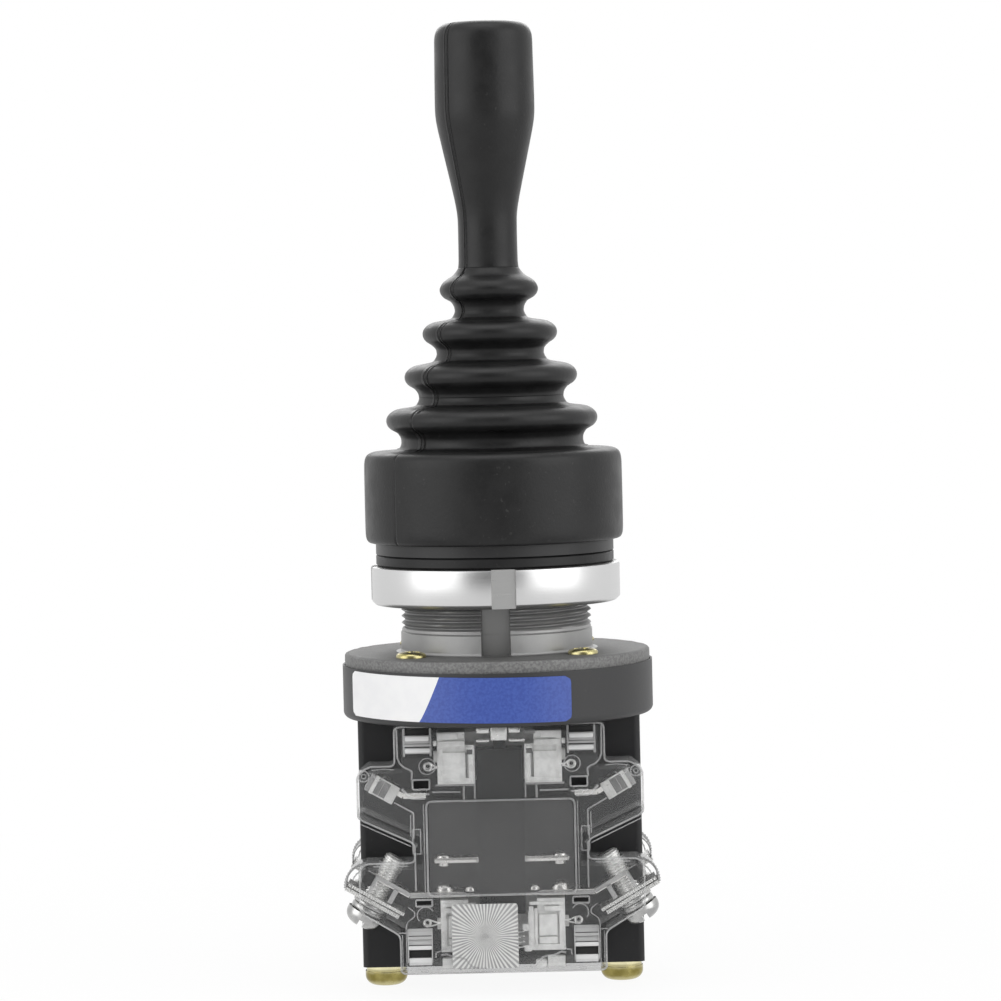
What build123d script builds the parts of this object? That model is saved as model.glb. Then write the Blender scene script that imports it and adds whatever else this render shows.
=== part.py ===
from build123d import *
import math
import os

# An industrial panel joystick: a rubber-booted lever on a gimbal, a threaded bushing with its
# ring nut, and a contact frame below with two clear contact covers.
# Millimetres, +Z up. The origin is on the centre line, level with the heads of the frame screws,
# and the front face with its clear cover looks along -Y.

os.makedirs("parts", exist_ok=True)

# Contact frame
frame_width = 44.0
frame_depth = 20.0
frame_height = 38.5
frame_wall = 1.6
frame_floor = 1.6
frame_roof = 1.6
frame_edge_round = 1.0
frame_bolt_x = 18.5
frame_bolt_y = 6.0
frame_bolt_radius = 1.6
frame_bolt_length = 44.5
frame_bolt_head_radius = 3.3
frame_bolt_head_height = 2.2
frame_bolt_head_round = 1.5
frame_washer_thickness = 1.0
boss_radius = 3.2

# Base ring and cast bushing with its flange
base_ring_radius = 24.45
base_ring_height = 8.3
base_ring_edge_round = 1.0
flange_radius = 24.05
flange_thickness = 2.5
flange_recess = 0.6
collar_height = 3.3
thread_radius = 15.0
thread_length = 14.8
bushing_bore = 12.0
bushing_lip_bore = 10.2
bushing_lip_height = 2.0
keyway_width = 4.2
keyway_depth = 1.3
cross_pocket_depth = 1.2
flange_bolt_square = 26.6
flange_bolt_radius = 1.5
flange_bolt_length = 7.0
flange_bolt_head_radius = 2.75
flange_bolt_head_height = 1.1
flange_bolt_recess = 0.7

# Ring nut
nut_radius = 19.65
nut_height = 6.1
nut_above_collar = 4.2
nut_notch_width = 4.4
nut_notch_depth = 1.0
nut_notch_count = 4

# Seals on top of the panel
gasket_radius = 18.75
gasket_thickness = 1.85
bezel_flange_thickness = 1.75
bezel_body_radius = 18.1
bezel_body_height = 8.0
bezel_bead_depth = 0.7
bezel_bead_height = 1.8

# Rubber boot
skirt_radius = 20.3
skirt_height = 14.4
skirt_wall = 1.8
skirt_top_round = 1.5
boot_wall = 1.3
neck_radius = 4.675
neck_height = 8.5
grip_taper_height = 14.9
cap_radius = 7.85
cap_height = 15.1
cap_round = 2.2
fold_lean = 72.0

# Radius of each groove and ring of the bellows, and its height over the skirt's top
groove_4 = (14.35, 1.5)
ring_4 = (16.65, 4.55)
groove_3 = (11.4, 8.3)
ring_3 = (13.6, 11.35)
groove_2 = (8.45, 15.2)
ring_2 = (10.6, 18.1)
groove_1 = (5.45, 21.9)
ring_1 = (7.75, 25.0)
neck_foot = 28.5

# Gimbal
pivot_over_flange = 1.6
tilt_limit = 12.0
rod_radius = 3.0
rod_stud_radius = 2.5
hub_radius = 6.0
gimbal_height = 5.0
gimbal_bore = 6.9
gimbal_radius = 9.6
cradle_bore = 10.3
pin_radius = 1.25
gate_thickness = 2.0
circlip_thickness = 0.7
circlip_depth = 0.55
circlip_width = 1.6

# Rocker cross under the gimbal, which presses the four plungers
rocker_drop = 7.1
rocker_thickness = 1.2
rocker_reach = 14.8
rocker_arm_width = 5.0
rocker_hub_radius = 7.0
rocker_nut_height = 2.0
rocker_nut_flats = 8.0
centring_spring_radius = 5.6
centring_spring_wire = 1.2
centring_spring_turns = 6
spring_well_radius = 7.3
spring_well_depth = 17.7

# Plungers
plunger_throw = 2.55
plunger_gap = 0.6
plunger_dome = 0.9
plunger_reach = 12.0
front_stem_y = 14.0
front_stem_width = 2.0
front_stem_depth = 3.0
front_slider_width = 7.2
front_slider_depth = 4.6
front_slider_bottom = 12.0
front_slider_wall = 0.9
side_stem_width = 2.4
side_stem_depth = 2.6
side_slider_width = 4.4
side_slider_depth = 9.2
side_slider_bottom = 14.0
side_slider_drop = 4.4
return_spring_radius = 1.4
return_spring_wire = 0.5
return_spring_turns = 6
spring_bore_depth = 6.0

# Contacts
strip_thickness = 0.8
bridge_width = 3.0
rivet_radius = 1.0
rivet_height = 0.55
contact_gap = 2.75
front_bridge_height = 20.0
front_bridge_length = 21.0
front_rivet_x = 8.9
front_strip_inner = 6.0
side_bridge_drop = 6.8
side_bridge_length = 14.8
side_rivet_y = 6.5
terminal_width = 5.0
terminal_angle = 30.0
upper_terminal_bend = 15.0
upper_terminal_inner = 11.5
upper_terminal_length = 5.8
tongue_inner = 5.2
lower_terminal_bend = 14.3
lower_terminal_length = 6.8
terminal_screw_along = 4.6
terminal_screw_radius = 1.75
terminal_screw_tip = 3.6
clamp_distance = 3.0
clamp_size = 5.6
terminal_washer_thickness = 1.3
terminal_washer_radius = 2.8
terminal_head_radius = 3.0
terminal_head_height = 2.1
terminal_head_round = 1.3
terminal_slot_width = 0.9
terminal_slot_depth = 1.1
cage_length = 4.8
cage_height = 2.8
cage_wall = 0.5

# Clear contact covers: lower heights are over the frame's lower face, drops are under its top
cover_depth = 8.0
cover_wall = 1.2
cover_corner_round = 0.8
cover_top_half = 16.3
cover_middle_half = 13.5
cover_bottom_half = 16.0
cover_wing_half = 22.1
upper_wing_drop = 6.2
upper_wing_shoulder_drop = 7.7
upper_wing_tip_drop = 14.2
upper_wing_root_drop = 18.2
lower_wing_top = 17.3
lower_wing_tip = 9.8
lower_wing_root = 6.1
panel_width = 22.3
panel_height = 14.3
panel_centre = 19.45
panel_round = 1.0
latch_width = 4.1
latch_height = 4.9
latch_recess = 0.6
latch_slot = 0.9
upper_latch_x = 12.55
upper_latch_drop = 2.65
lower_latch_x = 12.8
lower_latch_height = 4.25
latch_slot_rise = 1.6
latch_slot_fall = 0.75
small_window_width = 2.6
small_window_x = 12.1
upper_window_height = 1.5
upper_window_drop = 9.1
lower_window_height = 0.9
lower_window_level = 11.1

# White contact holders
holder_inner = 3.9
holder_outer = 9.6
holder_web = 0.8
upper_holder_drop = 1.3
upper_holder_height = 8.0
lower_holder_bottom = 3.2
lower_holder_height = 8.0
holder_notch = 1.4
holder_notch_height = 2.0
holder_pocket_depth = 0.6
holder_rim = 0.9
nose_radius = 0.9
nose_length = 0.6

# Fits
running_fit = 0.04
press_seat = 0.01
seat_gap = 0.1
free_gap = 0.3

# Levels that follow from the sizes above
frame_bottom = frame_bolt_head_height + frame_washer_thickness
frame_top = frame_bottom + frame_height
ring_top = frame_top + base_ring_height
flange_bottom = ring_top - flange_recess
flange_top = flange_bottom + flange_thickness
thread_bottom = flange_top + collar_height
bushing_top = thread_bottom + thread_length
nut_bottom = thread_bottom + nut_above_collar
nut_top = nut_bottom + nut_height
gasket_top = nut_top + gasket_thickness
bezel_top = gasket_top + bezel_flange_thickness
skirt_top = bezel_top + skirt_height
pivot_height = flange_top + pivot_over_flange
neck_bottom = skirt_top + neck_foot
neck_top = neck_bottom + neck_height
taper_top = neck_top + grip_taper_height
cap_top = taper_top + cap_height
rod_top = cap_top - cap_round - boot_wall
pocket_top = flange_bottom + cross_pocket_depth
rocker_top = pivot_height - rocker_drop
rocker_bottom = rocker_top - rocker_thickness
plunger_top = rocker_bottom - plunger_gap
well_floor = frame_top - spring_well_depth
side_bridge_height = frame_top - side_bridge_drop
side_stem_bottom = frame_top - side_slider_drop
cover_front_y = frame_depth / 2 + cover_depth
cover_room_y = cover_front_y - cover_wall
tilt = math.radians(tilt_limit)

# Room that the rocker's arms sweep: reach, half width and the hub's circle. With both tilts at
# their limits an arm also turns a little sideways.
rocker_shift = (rocker_drop + rocker_thickness) * math.sin(tilt)
sweep_reach = rocker_reach * math.cos(tilt) + rocker_shift + free_gap
sweep_half = rocker_arm_width / 2 + rocker_shift + rocker_reach * math.sin(tilt) ** 2 + free_gap
sweep_hub = rocker_hub_radius + rocker_shift * math.sqrt(2) + free_gap


def cross_window():
    """The cross-shaped room of the rocker, as a sketch on its own plane."""
    Rectangle(2 * sweep_reach, 2 * sweep_half)
    Rectangle(2 * sweep_half, 2 * sweep_reach)
    Circle(sweep_hub)


def fold(low, high):
    """One side of a bellows fold: arc, straight and arc, upright at both ends."""
    rise = high[1] - low[1]
    run = high[0] - low[0]
    if run == 0:
        Line(low, high)
        return
    lean = min(math.radians(fold_lean), 2 * math.atan(abs(run) / rise))
    swing = 1 - math.cos(lean)
    # rise = 2 R sin(lean) + L cos(lean), run = 2 R (1 - cos(lean)) + L sin(lean)
    span = math.sin(lean) ** 2 - swing * math.cos(lean)
    arc_radius = (rise * math.sin(lean) - abs(run) * math.cos(lean)) / (2 * span)
    flat = (abs(run) - 2 * arc_radius * swing) / math.sin(lean)
    turn = math.degrees(lean) * (1 if run < 0 else -1)
    first = JernArc(start=low, tangent=(0, 1), radius=arc_radius, arc_size=turn)
    if flat > 0.01:
        straight = Line(first @ 1, first @ 1 + (first % 1) * flat)
        JernArc(start=straight @ 1, tangent=straight % 1, radius=arc_radius, arc_size=-turn)
    else:
        JernArc(start=first @ 1, tangent=first % 1, radius=arc_radius, arc_size=-turn)


def over_skirt(point):
    """A bellows point with its height over the origin."""
    return (point[0], point[1] + skirt_top)


def coil(radius, wire, bottom, top, turns, centre=(0, 0)):
    """A compression spring with a six-sided wire, between two seats."""
    with BuildPart() as spring:
        with BuildLine() as path:
            Helix(
                pitch=(top - bottom - wire) / turns,
                height=top - bottom - wire,
                radius=radius,
                center=(centre[0], centre[1], bottom + wire / 2),
            )
        with BuildSketch(Plane(origin=path.line @ 0, z_dir=path.line % 0)):
            RegularPolygon(radius=wire / 2, side_count=6)
        sweep(is_frenet=True)
    return spring


def turned(piece, angle):
    """A copy of a finished piece, turned about the centre line."""
    with BuildPart() as copy:
        add(piece.part, rotation=(0, 0, angle))
    return copy


def mirrored(piece, plane):
    """A copy of a finished piece on the other side of a plane."""
    with BuildPart() as copy:
        add(mirror(piece.part, about=plane, mode=Mode.PRIVATE))
    return copy


def keep(piece, label):
    """Label a finished piece and write it."""
    piece.part.label = label
    export_step(piece.part, f"parts/{label}.step")


# Base ring: a moulded disc with the rocker's cross-shaped room right through it
with BuildPart() as base_ring:
    with BuildSketch(Plane.XY.offset(frame_top)):
        Circle(base_ring_radius)
    extrude(amount=base_ring_height)
    fillet(base_ring.faces().sort_by(Axis.Z)[0].edges(), radius=base_ring_edge_round)
    with BuildSketch(Plane.XY.offset(flange_bottom)):
        Circle(flange_radius + seat_gap)
    extrude(amount=flange_recess, mode=Mode.SUBTRACT)
    with BuildSketch(Plane.XY.offset(frame_top)):
        cross_window()
    extrude(amount=base_ring_height, mode=Mode.SUBTRACT)
    with BuildSketch(Plane.XY.offset(frame_top)):
        with GridLocations(2 * frame_bolt_x, 2 * frame_bolt_y, 2, 2):
            Circle(frame_bolt_radius + seat_gap)
    extrude(amount=frame_bolt_length - frame_height - frame_washer_thickness + free_gap, mode=Mode.SUBTRACT)
    with BuildSketch(Plane.XY.offset(flange_bottom)):
        with GridLocations(flange_bolt_square, flange_bolt_square, 2, 2):
            Circle(flange_bolt_radius + seat_gap)
    extrude(amount=flange_thickness - flange_bolt_length - free_gap, mode=Mode.SUBTRACT)
base_ring.part.label = "base_ring"
export_step(base_ring.part, "parts/base_ring.step")

# Cast bushing: flange, plain collar and threaded neck in one piece
with BuildPart() as bushing_flange:
    with BuildSketch(Plane.XY.offset(flange_bottom)):
        Circle(flange_radius)
    extrude(amount=flange_thickness)
    chamfer(bushing_flange.faces().sort_by(Axis.Z)[-1].edges(), length=0.3)
    with BuildSketch(Plane.XY.offset(flange_top)):
        Circle(thread_radius)
    extrude(amount=collar_height + thread_length)
    chamfer(bushing_flange.faces().sort_by(Axis.Z)[-1].edges(), length=0.8)
    with BuildSketch(Plane.XY.offset(flange_bottom)):
        cross_window()
    extrude(amount=cross_pocket_depth, mode=Mode.SUBTRACT)
    with BuildSketch(Plane.XY.offset(flange_bottom)):
        Circle(bushing_bore)
    extrude(amount=bushing_top - bushing_lip_height - flange_bottom, mode=Mode.SUBTRACT)
    with BuildSketch(Plane.XY.offset(flange_bottom)):
        Circle(bushing_lip_bore)
    extrude(amount=bushing_top - flange_bottom, mode=Mode.SUBTRACT)
    with BuildSketch(Plane.XY.offset(pocket_top + free_gap)):
        Circle(bushing_bore + circlip_depth)
    extrude(amount=circlip_thickness + seat_gap, mode=Mode.SUBTRACT)
    with BuildSketch(Plane.XY.offset(flange_top)):
        with Locations((0, -thread_radius)):
            Rectangle(keyway_width, 2 * keyway_depth)
    extrude(amount=collar_height + thread_length, mode=Mode.SUBTRACT)
    with BuildSketch(Plane.XY.offset(flange_bottom)):
        with GridLocations(flange_bolt_square, flange_bolt_square, 2, 2):
            Circle(flange_bolt_radius + seat_gap)
    extrude(amount=flange_thickness, mode=Mode.SUBTRACT)
bushing_flange.part.label = "bushing_flange"
export_step(bushing_flange.part, "parts/bushing_flange.step")

# Snap ring that holds the cradle up in the bushing, with its gap and two lugs
circlip_bottom = pocket_top + free_gap + seat_gap / 2
circlip_outer = bushing_bore + circlip_depth - seat_gap
with BuildPart() as retaining_ring:
    with BuildSketch(Plane.XY.offset(circlip_bottom)):
        Circle(circlip_outer)
        Circle(circlip_outer - circlip_width, mode=Mode.SUBTRACT)
        with Locations((0, circlip_outer)):
            Rectangle(4.0, 4.0 * circlip_width, mode=Mode.SUBTRACT)
    extrude(amount=circlip_thickness)
retaining_ring.part.label = "retaining_ring"
export_step(retaining_ring.part, "parts/retaining_ring.step")

# Cradle: the sleeve that carries the gimbal's outer pins
cradle_bottom = circlip_bottom + circlip_thickness + seat_gap / 2
cradle_top = bushing_top - bushing_lip_height - gate_thickness
with BuildPart() as pivot_cradle:
    with BuildSketch(Plane.XY.offset(cradle_bottom)):
        Circle(bushing_bore - seat_gap)
        Circle(cradle_bore, mode=Mode.SUBTRACT)
    extrude(amount=cradle_top - cradle_bottom)
    with BuildSketch(Plane.YZ.offset(-bushing_bore)):
        with Locations((0, pivot_height)):
            Circle(pin_radius + running_fit)
    extrude(amount=2 * bushing_bore, mode=Mode.SUBTRACT)
pivot_cradle.part.label = "pivot_cradle"
export_step(pivot_cradle.part, "parts/pivot_cradle.step")

# Gate: the plate whose square window stops the lever
gate_height = cradle_top + gate_thickness - pivot_height
gate_half = gate_height * math.tan(tilt) / math.cos(tilt) + rod_radius / math.cos(tilt) + free_gap
with BuildPart() as gate_plate:
    with BuildSketch(Plane.XY.offset(cradle_top)):
        Circle(bushing_bore - seat_gap)
        RectangleRounded(2 * gate_half, 2 * gate_half, 1.0, mode=Mode.SUBTRACT)
    extrude(amount=gate_thickness)
gate_plate.part.label = "gate_plate"
export_step(gate_plate.part, "parts/gate_plate.step")

# Gimbal ring with the bores of both pairs of pins
with BuildPart() as gimbal_ring:
    with BuildSketch(Plane.XY.offset(pivot_height - gimbal_height / 2)):
        Circle(gimbal_radius)
        Circle(gimbal_bore, mode=Mode.SUBTRACT)
    extrude(amount=gimbal_height)
    with BuildSketch(Plane.YZ.offset(-gimbal_radius)):
        with Locations((0, pivot_height)):
            Circle(pin_radius + press_seat)
    extrude(amount=2 * gimbal_radius, mode=Mode.SUBTRACT)
    with BuildSketch(Plane.XZ.offset(-gimbal_radius)):
        with Locations((0, pivot_height)):
            Circle(pin_radius + running_fit)
    extrude(amount=2 * gimbal_radius, mode=Mode.SUBTRACT)
gimbal_ring.part.label = "gimbal_ring"
export_step(gimbal_ring.part, "parts/gimbal_ring.step")

# Outer pins along X, fixed in the gimbal ring and turning in the cradle
with BuildPart() as gimbal_pins:
    with BuildSketch(Plane.YZ.offset(gimbal_bore + free_gap)):
        with Locations((0, pivot_height)):
            Circle(pin_radius)
    extrude(amount=bushing_bore - gimbal_bore - 2 * free_gap)
    mirror(about=Plane.YZ)
gimbal_pins.part.label = "gimbal_pins"
export_step(gimbal_pins.part, "parts/gimbal_pins.step")

# Inner pins along Y, fixed in the hub and turning in the gimbal ring
with BuildPart() as hub_pins:
    with BuildSketch(Plane.XZ.offset(rod_radius + free_gap)):
        with Locations((0, pivot_height)):
            Circle(pin_radius)
    extrude(amount=gimbal_radius - rod_radius - 2 * free_gap)
    mirror(about=Plane.XZ)
hub_pins.part.label = "hub_pins"
export_step(hub_pins.part, "parts/hub_pins.step")

# Hub: the collar on the rod that the inner pins pass into
with BuildPart() as pivot_hub:
    with BuildSketch(Plane.XY.offset(pivot_height - gimbal_height / 2)):
        Circle(hub_radius)
        Circle(rod_radius + press_seat, mode=Mode.SUBTRACT)
    extrude(amount=gimbal_height)
    with BuildSketch(Plane.XZ.offset(-hub_radius)):
        with Locations((0, pivot_height)):
            Circle(pin_radius + press_seat)
    extrude(amount=2 * hub_radius, mode=Mode.SUBTRACT)
pivot_hub.part.label = "pivot_hub"
export_step(pivot_hub.part, "parts/pivot_hub.step")

# Lever rod, stepped down to a stud below the hub
stud_bottom = rocker_bottom - rocker_nut_height
with BuildPart() as lever_rod:
    with BuildSketch(Plane.XY.offset(stud_bottom)):
        Circle(rod_stud_radius)
    extrude(amount=pivot_height - gimbal_height / 2 - stud_bottom)
    with BuildSketch(Plane.XY.offset(pivot_height - gimbal_height / 2)):
        Circle(rod_radius)
    extrude(amount=rod_top - pivot_height + gimbal_height / 2)
    chamfer(lever_rod.faces().sort_by(Axis.Z)[-1].edges(), length=0.5)
lever_rod.part.label = "lever_rod"
export_step(lever_rod.part, "parts/lever_rod.step")

# Rocker cross with rounded arm tips
with BuildPart() as rocker_cross:
    with BuildSketch(Plane.XY.offset(rocker_bottom)):
        SlotOverall(2 * rocker_reach, rocker_arm_width)
        SlotOverall(2 * rocker_reach, rocker_arm_width, rotation=90)
        Circle(rocker_hub_radius)
        Circle(rod_stud_radius + press_seat, mode=Mode.SUBTRACT)
    extrude(amount=rocker_thickness)
    # the boss that spaces the cross from the hub
    with BuildSketch(Plane.XY.offset(rocker_top)):
        Circle(rod_radius + 1.0)
        Circle(rod_stud_radius + press_seat, mode=Mode.SUBTRACT)
    extrude(amount=rocker_drop - gimbal_height / 2)
rocker_cross.part.label = "rocker_cross"
export_step(rocker_cross.part, "parts/rocker_cross.step")

# Nut under the rocker cross
with BuildPart() as rocker_nut:
    with BuildSketch(Plane.XY.offset(rocker_bottom - rocker_nut_height)):
        RegularPolygon(radius=rocker_nut_flats / 2, side_count=6, major_radius=False)
        Circle(rod_stud_radius + press_seat, mode=Mode.SUBTRACT)
    extrude(amount=rocker_nut_height)
rocker_nut.part.label = "rocker_nut"
export_step(rocker_nut.part, "parts/rocker_nut.step")

# Centring spring between the frame's well and the rocker
centring_spring = coil(
    centring_spring_radius, centring_spring_wire, well_floor, rocker_bottom, centring_spring_turns
)
centring_spring.part.label = "centring_spring"
export_step(centring_spring.part, "parts/centring_spring.step")

# Ring nut with its spanner notches
with BuildPart() as ring_nut:
    with BuildSketch(Plane.XY.offset(nut_bottom)):
        Circle(nut_radius)
        Circle(thread_radius + 2 * running_fit, mode=Mode.SUBTRACT)
    extrude(amount=nut_height)
    outer_edges = ring_nut.edges().filter_by(GeomType.CIRCLE).group_by(SortBy.RADIUS)[-1]
    chamfer(outer_edges, length=0.4)
    with BuildSketch(Plane.XY.offset(nut_bottom)):
        with PolarLocations(nut_radius, nut_notch_count, start_angle=-87):
            Rectangle(2 * nut_notch_depth, nut_notch_width)
    extrude(amount=nut_height, mode=Mode.SUBTRACT)
ring_nut.part.label = "ring_nut"
export_step(ring_nut.part, "parts/ring_nut.step")

# Panel gasket
with BuildPart() as panel_gasket:
    with BuildSketch(Plane.XY.offset(nut_top)):
        Circle(gasket_radius)
        Circle(thread_radius + seat_gap, mode=Mode.SUBTRACT)
    extrude(amount=gasket_thickness)
    chamfer(panel_gasket.edges().filter_by(GeomType.CIRCLE).group_by(SortBy.RADIUS)[-1], length=0.3)
panel_gasket.part.label = "panel_gasket"
export_step(panel_gasket.part, "parts/panel_gasket.step")

# Bezel: flange, body that carries the boot, and an inner shoulder on top of the bushing
bead_low = bezel_top + bezel_body_height / 3
with BuildPart() as bezel_ring:
    with BuildSketch(Plane.XZ):
        with BuildLine():
            Polyline(
                (thread_radius + seat_gap, gasket_top),
                (gasket_radius, gasket_top),
                (gasket_radius, bezel_top),
                (bezel_body_radius, bezel_top),
                (bezel_body_radius, bead_low),
                (bezel_body_radius - bezel_bead_depth, bead_low),
                (bezel_body_radius - bezel_bead_depth, bead_low + bezel_bead_height),
                (bezel_body_radius, bead_low + bezel_bead_height),
                (bezel_body_radius, bezel_top + bezel_body_height),
                (bushing_bore + 1.0, bezel_top + bezel_body_height),
                (bushing_bore + 1.0, bushing_top),
                (thread_radius + seat_gap, bushing_top),
                close=True,
            )
        make_face()
    revolve(axis=Axis.Z)
bezel_ring.part.label = "bezel_ring"
export_step(bezel_ring.part, "parts/bezel_ring.step")

# Boot skirt, snapped over the bezel with an inner bead
skirt_inner = bezel_body_radius + seat_gap
skirt_mouth = groove_4[0] - boot_wall
with BuildPart() as boot_skirt:
    with BuildSketch(Plane.XZ):
        with BuildLine():
            Polyline(
                (skirt_inner, bezel_top),
                (skirt_radius, bezel_top),
                (skirt_radius, skirt_top),
                (skirt_mouth, skirt_top),
                (skirt_mouth, skirt_top - skirt_wall),
                (skirt_inner, skirt_top - skirt_wall),
                (skirt_inner, bead_low + bezel_bead_height - seat_gap),
                (skirt_inner - bezel_bead_depth, bead_low + bezel_bead_height - seat_gap),
                (skirt_inner - bezel_bead_depth, bead_low + seat_gap),
                (skirt_inner, bead_low + seat_gap),
                close=True,
            )
        make_face()
    revolve(axis=Axis.Z)
    rim_edges = boot_skirt.edges().filter_by(GeomType.CIRCLE).group_by(SortBy.RADIUS)[-1]
    fillet(rim_edges.sort_by(Axis.Z)[-1], radius=skirt_top_round)
    fillet(boot_skirt.edges().filter_by(GeomType.CIRCLE).group_by(SortBy.RADIUS)[-1].sort_by(Axis.Z)[0], 0.8)
boot_skirt.part.label = "boot_skirt"
export_step(boot_skirt.part, "parts/boot_skirt.step")


def bellows(points, label):
    """A length of bellows: rounded folds outside, plain cones inside."""
    with BuildPart() as piece:
        with BuildSketch(Plane.XZ):
            with BuildLine():
                for low, high in zip(points, points[1:]):
                    fold(low, high)
                inside = [(radius - boot_wall, height) for radius, height in reversed(points)]
                Polyline(points[-1], *inside, points[0])
            make_face()
        revolve(axis=Axis.Z)
    piece.part.label = label
    export_step(piece.part, f"parts/{label}.step")


bellows_foot = (groove_4[0], 0.0)
lower_folds = [bellows_foot, groove_4, ring_4, groove_3, ring_3, groove_2]
upper_folds = [groove_2, ring_2, groove_1, ring_1, (neck_radius, neck_foot)]
bellows([over_skirt(point) for point in lower_folds], "boot_bellows_lower")
bellows([over_skirt(point) for point in upper_folds], "boot_bellows_upper")

# Grip: neck, taper and cap of the boot, moulded round the rod
with BuildPart() as boot_grip:
    with BuildSketch(Plane.XZ):
        with BuildLine():
            outline = FilletPolyline(
                (neck_radius, neck_bottom),
                (neck_radius, neck_top),
                (cap_radius, taper_top),
                (cap_radius, cap_top - cap_round),
                radius=6.0,
            )
            dome = RadiusArc(outline @ 1, (cap_radius - cap_round, cap_top), -cap_round)
            Polyline(
                dome @ 1,
                (0, cap_top),
                (0, rod_top),
                (rod_radius + press_seat, rod_top),
                (rod_radius + press_seat, neck_bottom),
                outline @ 0,
            )
        make_face()
    revolve(axis=Axis.Z)
boot_grip.part.label = "boot_grip"
export_step(boot_grip.part, "parts/boot_grip.step")

# Flange screws, pan head with a cross recess
for number, (side_x, side_y) in enumerate(((-1, -1), (1, -1), (1, 1), (-1, 1)), start=1):
    spot = (side_x * flange_bolt_square / 2, side_y * flange_bolt_square / 2)
    with BuildPart() as flange_screw:
        with BuildSketch(Plane.XY.offset(flange_top)):
            with Locations(spot):
                Circle(flange_bolt_head_radius)
        extrude(amount=flange_bolt_head_height)
        fillet(flange_screw.faces().sort_by(Axis.Z)[-1].edges(), radius=flange_bolt_head_height / 2)
        with BuildSketch(Plane.XY.offset(flange_top + flange_bolt_head_height)):
            with Locations(spot):
                Rectangle(2.6, 0.6)
                Rectangle(0.6, 2.6)
        extrude(amount=-flange_bolt_recess, mode=Mode.SUBTRACT)
        with BuildSketch(Plane.XY.offset(flange_top)):
            with Locations(spot):
                Circle(flange_bolt_radius)
        extrude(amount=-flange_bolt_length)
    keep(flange_screw, f"flange_screw_{number}")

# Frame screws, from below through the frame into the base ring, each with its washer
for number, (side_x, side_y) in enumerate(((-1, -1), (1, -1), (1, 1), (-1, 1)), start=1):
    spot = (side_x * frame_bolt_x, side_y * frame_bolt_y)
    with BuildPart() as frame_screw:
        with BuildSketch(Plane.XY):
            with Locations(spot):
                Circle(frame_bolt_head_radius)
        extrude(amount=frame_bolt_head_height)
        fillet(frame_screw.faces().sort_by(Axis.Z)[0].edges(), radius=frame_bolt_head_round)
        with BuildSketch(Plane.XY):
            with Locations(spot):
                Rectangle(2 * frame_bolt_head_radius, 0.9)
        extrude(amount=1.0, mode=Mode.SUBTRACT)
        with BuildSketch(Plane.XY.offset(frame_bolt_head_height)):
            with Locations(spot):
                Circle(frame_bolt_radius)
        extrude(amount=frame_bolt_length)
        with BuildSketch(Plane.XY.offset(frame_bolt_head_height)):
            with Locations(spot):
                Circle(frame_bolt_head_radius - 0.2)
                Circle(frame_bolt_radius + seat_gap, mode=Mode.SUBTRACT)
        extrude(amount=frame_washer_thickness)
    keep(frame_screw, f"frame_screw_{number}")

# Front half of the contact frame, with bosses, spring well and two slider rooms
room_outer = frame_bolt_x - boss_radius
room_inner = spring_well_radius + frame_wall
tongue_bottom = side_bridge_height - contact_gap - 2 * rivet_height - strip_thickness
upper_strip_height = tongue_bottom
with BuildPart() as frame_front_half:
    with BuildSketch(Plane.XY.offset(frame_bottom)):
        Rectangle(frame_width, frame_depth / 2, align=(Align.CENTER, Align.MAX))
    extrude(amount=frame_height)
    outer_corners = frame_front_half.edges().filter_by(Axis.Z).group_by(Axis.Y)[0]
    fillet(outer_corners, radius=frame_edge_round)
    with BuildSketch(Plane.XY.offset(frame_bottom + frame_floor)):
        with Locations(((room_inner + room_outer) / 2, 0), (-(room_inner + room_outer) / 2, 0)):
            Rectangle(room_outer - room_inner, frame_depth - 2 * frame_wall)
    extrude(amount=frame_height - frame_floor - frame_roof, mode=Mode.SUBTRACT)
    # lower middle room
    with BuildSketch(Plane.XY.offset(frame_bottom + frame_floor)):
        Rectangle(2 * (room_inner - frame_wall), frame_depth - 2 * frame_wall)
    extrude(amount=well_floor - frame_bottom - 2 * frame_floor, mode=Mode.SUBTRACT)
    # spring well
    with BuildSketch(Plane.XY.offset(well_floor)):
        Circle(spring_well_radius)
    extrude(amount=spring_well_depth, mode=Mode.SUBTRACT)
    # slots for the side plungers' stems
    with BuildSketch(Plane.XY.offset(frame_top)):
        with Locations((plunger_reach, 0), (-plunger_reach, 0)):
            Rectangle(side_stem_width + 2 * seat_gap, side_stem_depth + 2 * seat_gap)
    extrude(amount=-frame_roof, mode=Mode.SUBTRACT)
    # screw holes
    with BuildSketch(Plane.XY.offset(frame_bottom)):
        with GridLocations(2 * frame_bolt_x, 2 * frame_bolt_y, 2, 2):
            Circle(frame_bolt_radius + seat_gap)
    extrude(amount=frame_height, mode=Mode.SUBTRACT)
    # slots for the tongues of the upper terminals
    tongue_width = upper_terminal_bend - upper_terminal_inner
    tongue_x = (upper_terminal_bend + upper_terminal_inner) / 2
    with BuildSketch(Plane.XZ):
        with Locations(
            (tongue_x, upper_strip_height + strip_thickness / 2),
            (-tongue_x, upper_strip_height + strip_thickness / 2),
        ):
            Rectangle(tongue_width + 2 * seat_gap, strip_thickness + 2 * seat_gap)
    extrude(amount=frame_depth, mode=Mode.SUBTRACT)
frame_front_half.part.label = "frame_front_half"
export_step(frame_front_half.part, "parts/frame_front_half.step")

frame_rear_half = turned(frame_front_half, 180)
frame_rear_half.part.label = "frame_rear_half"
export_step(frame_rear_half.part, "parts/frame_rear_half.step")

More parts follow.
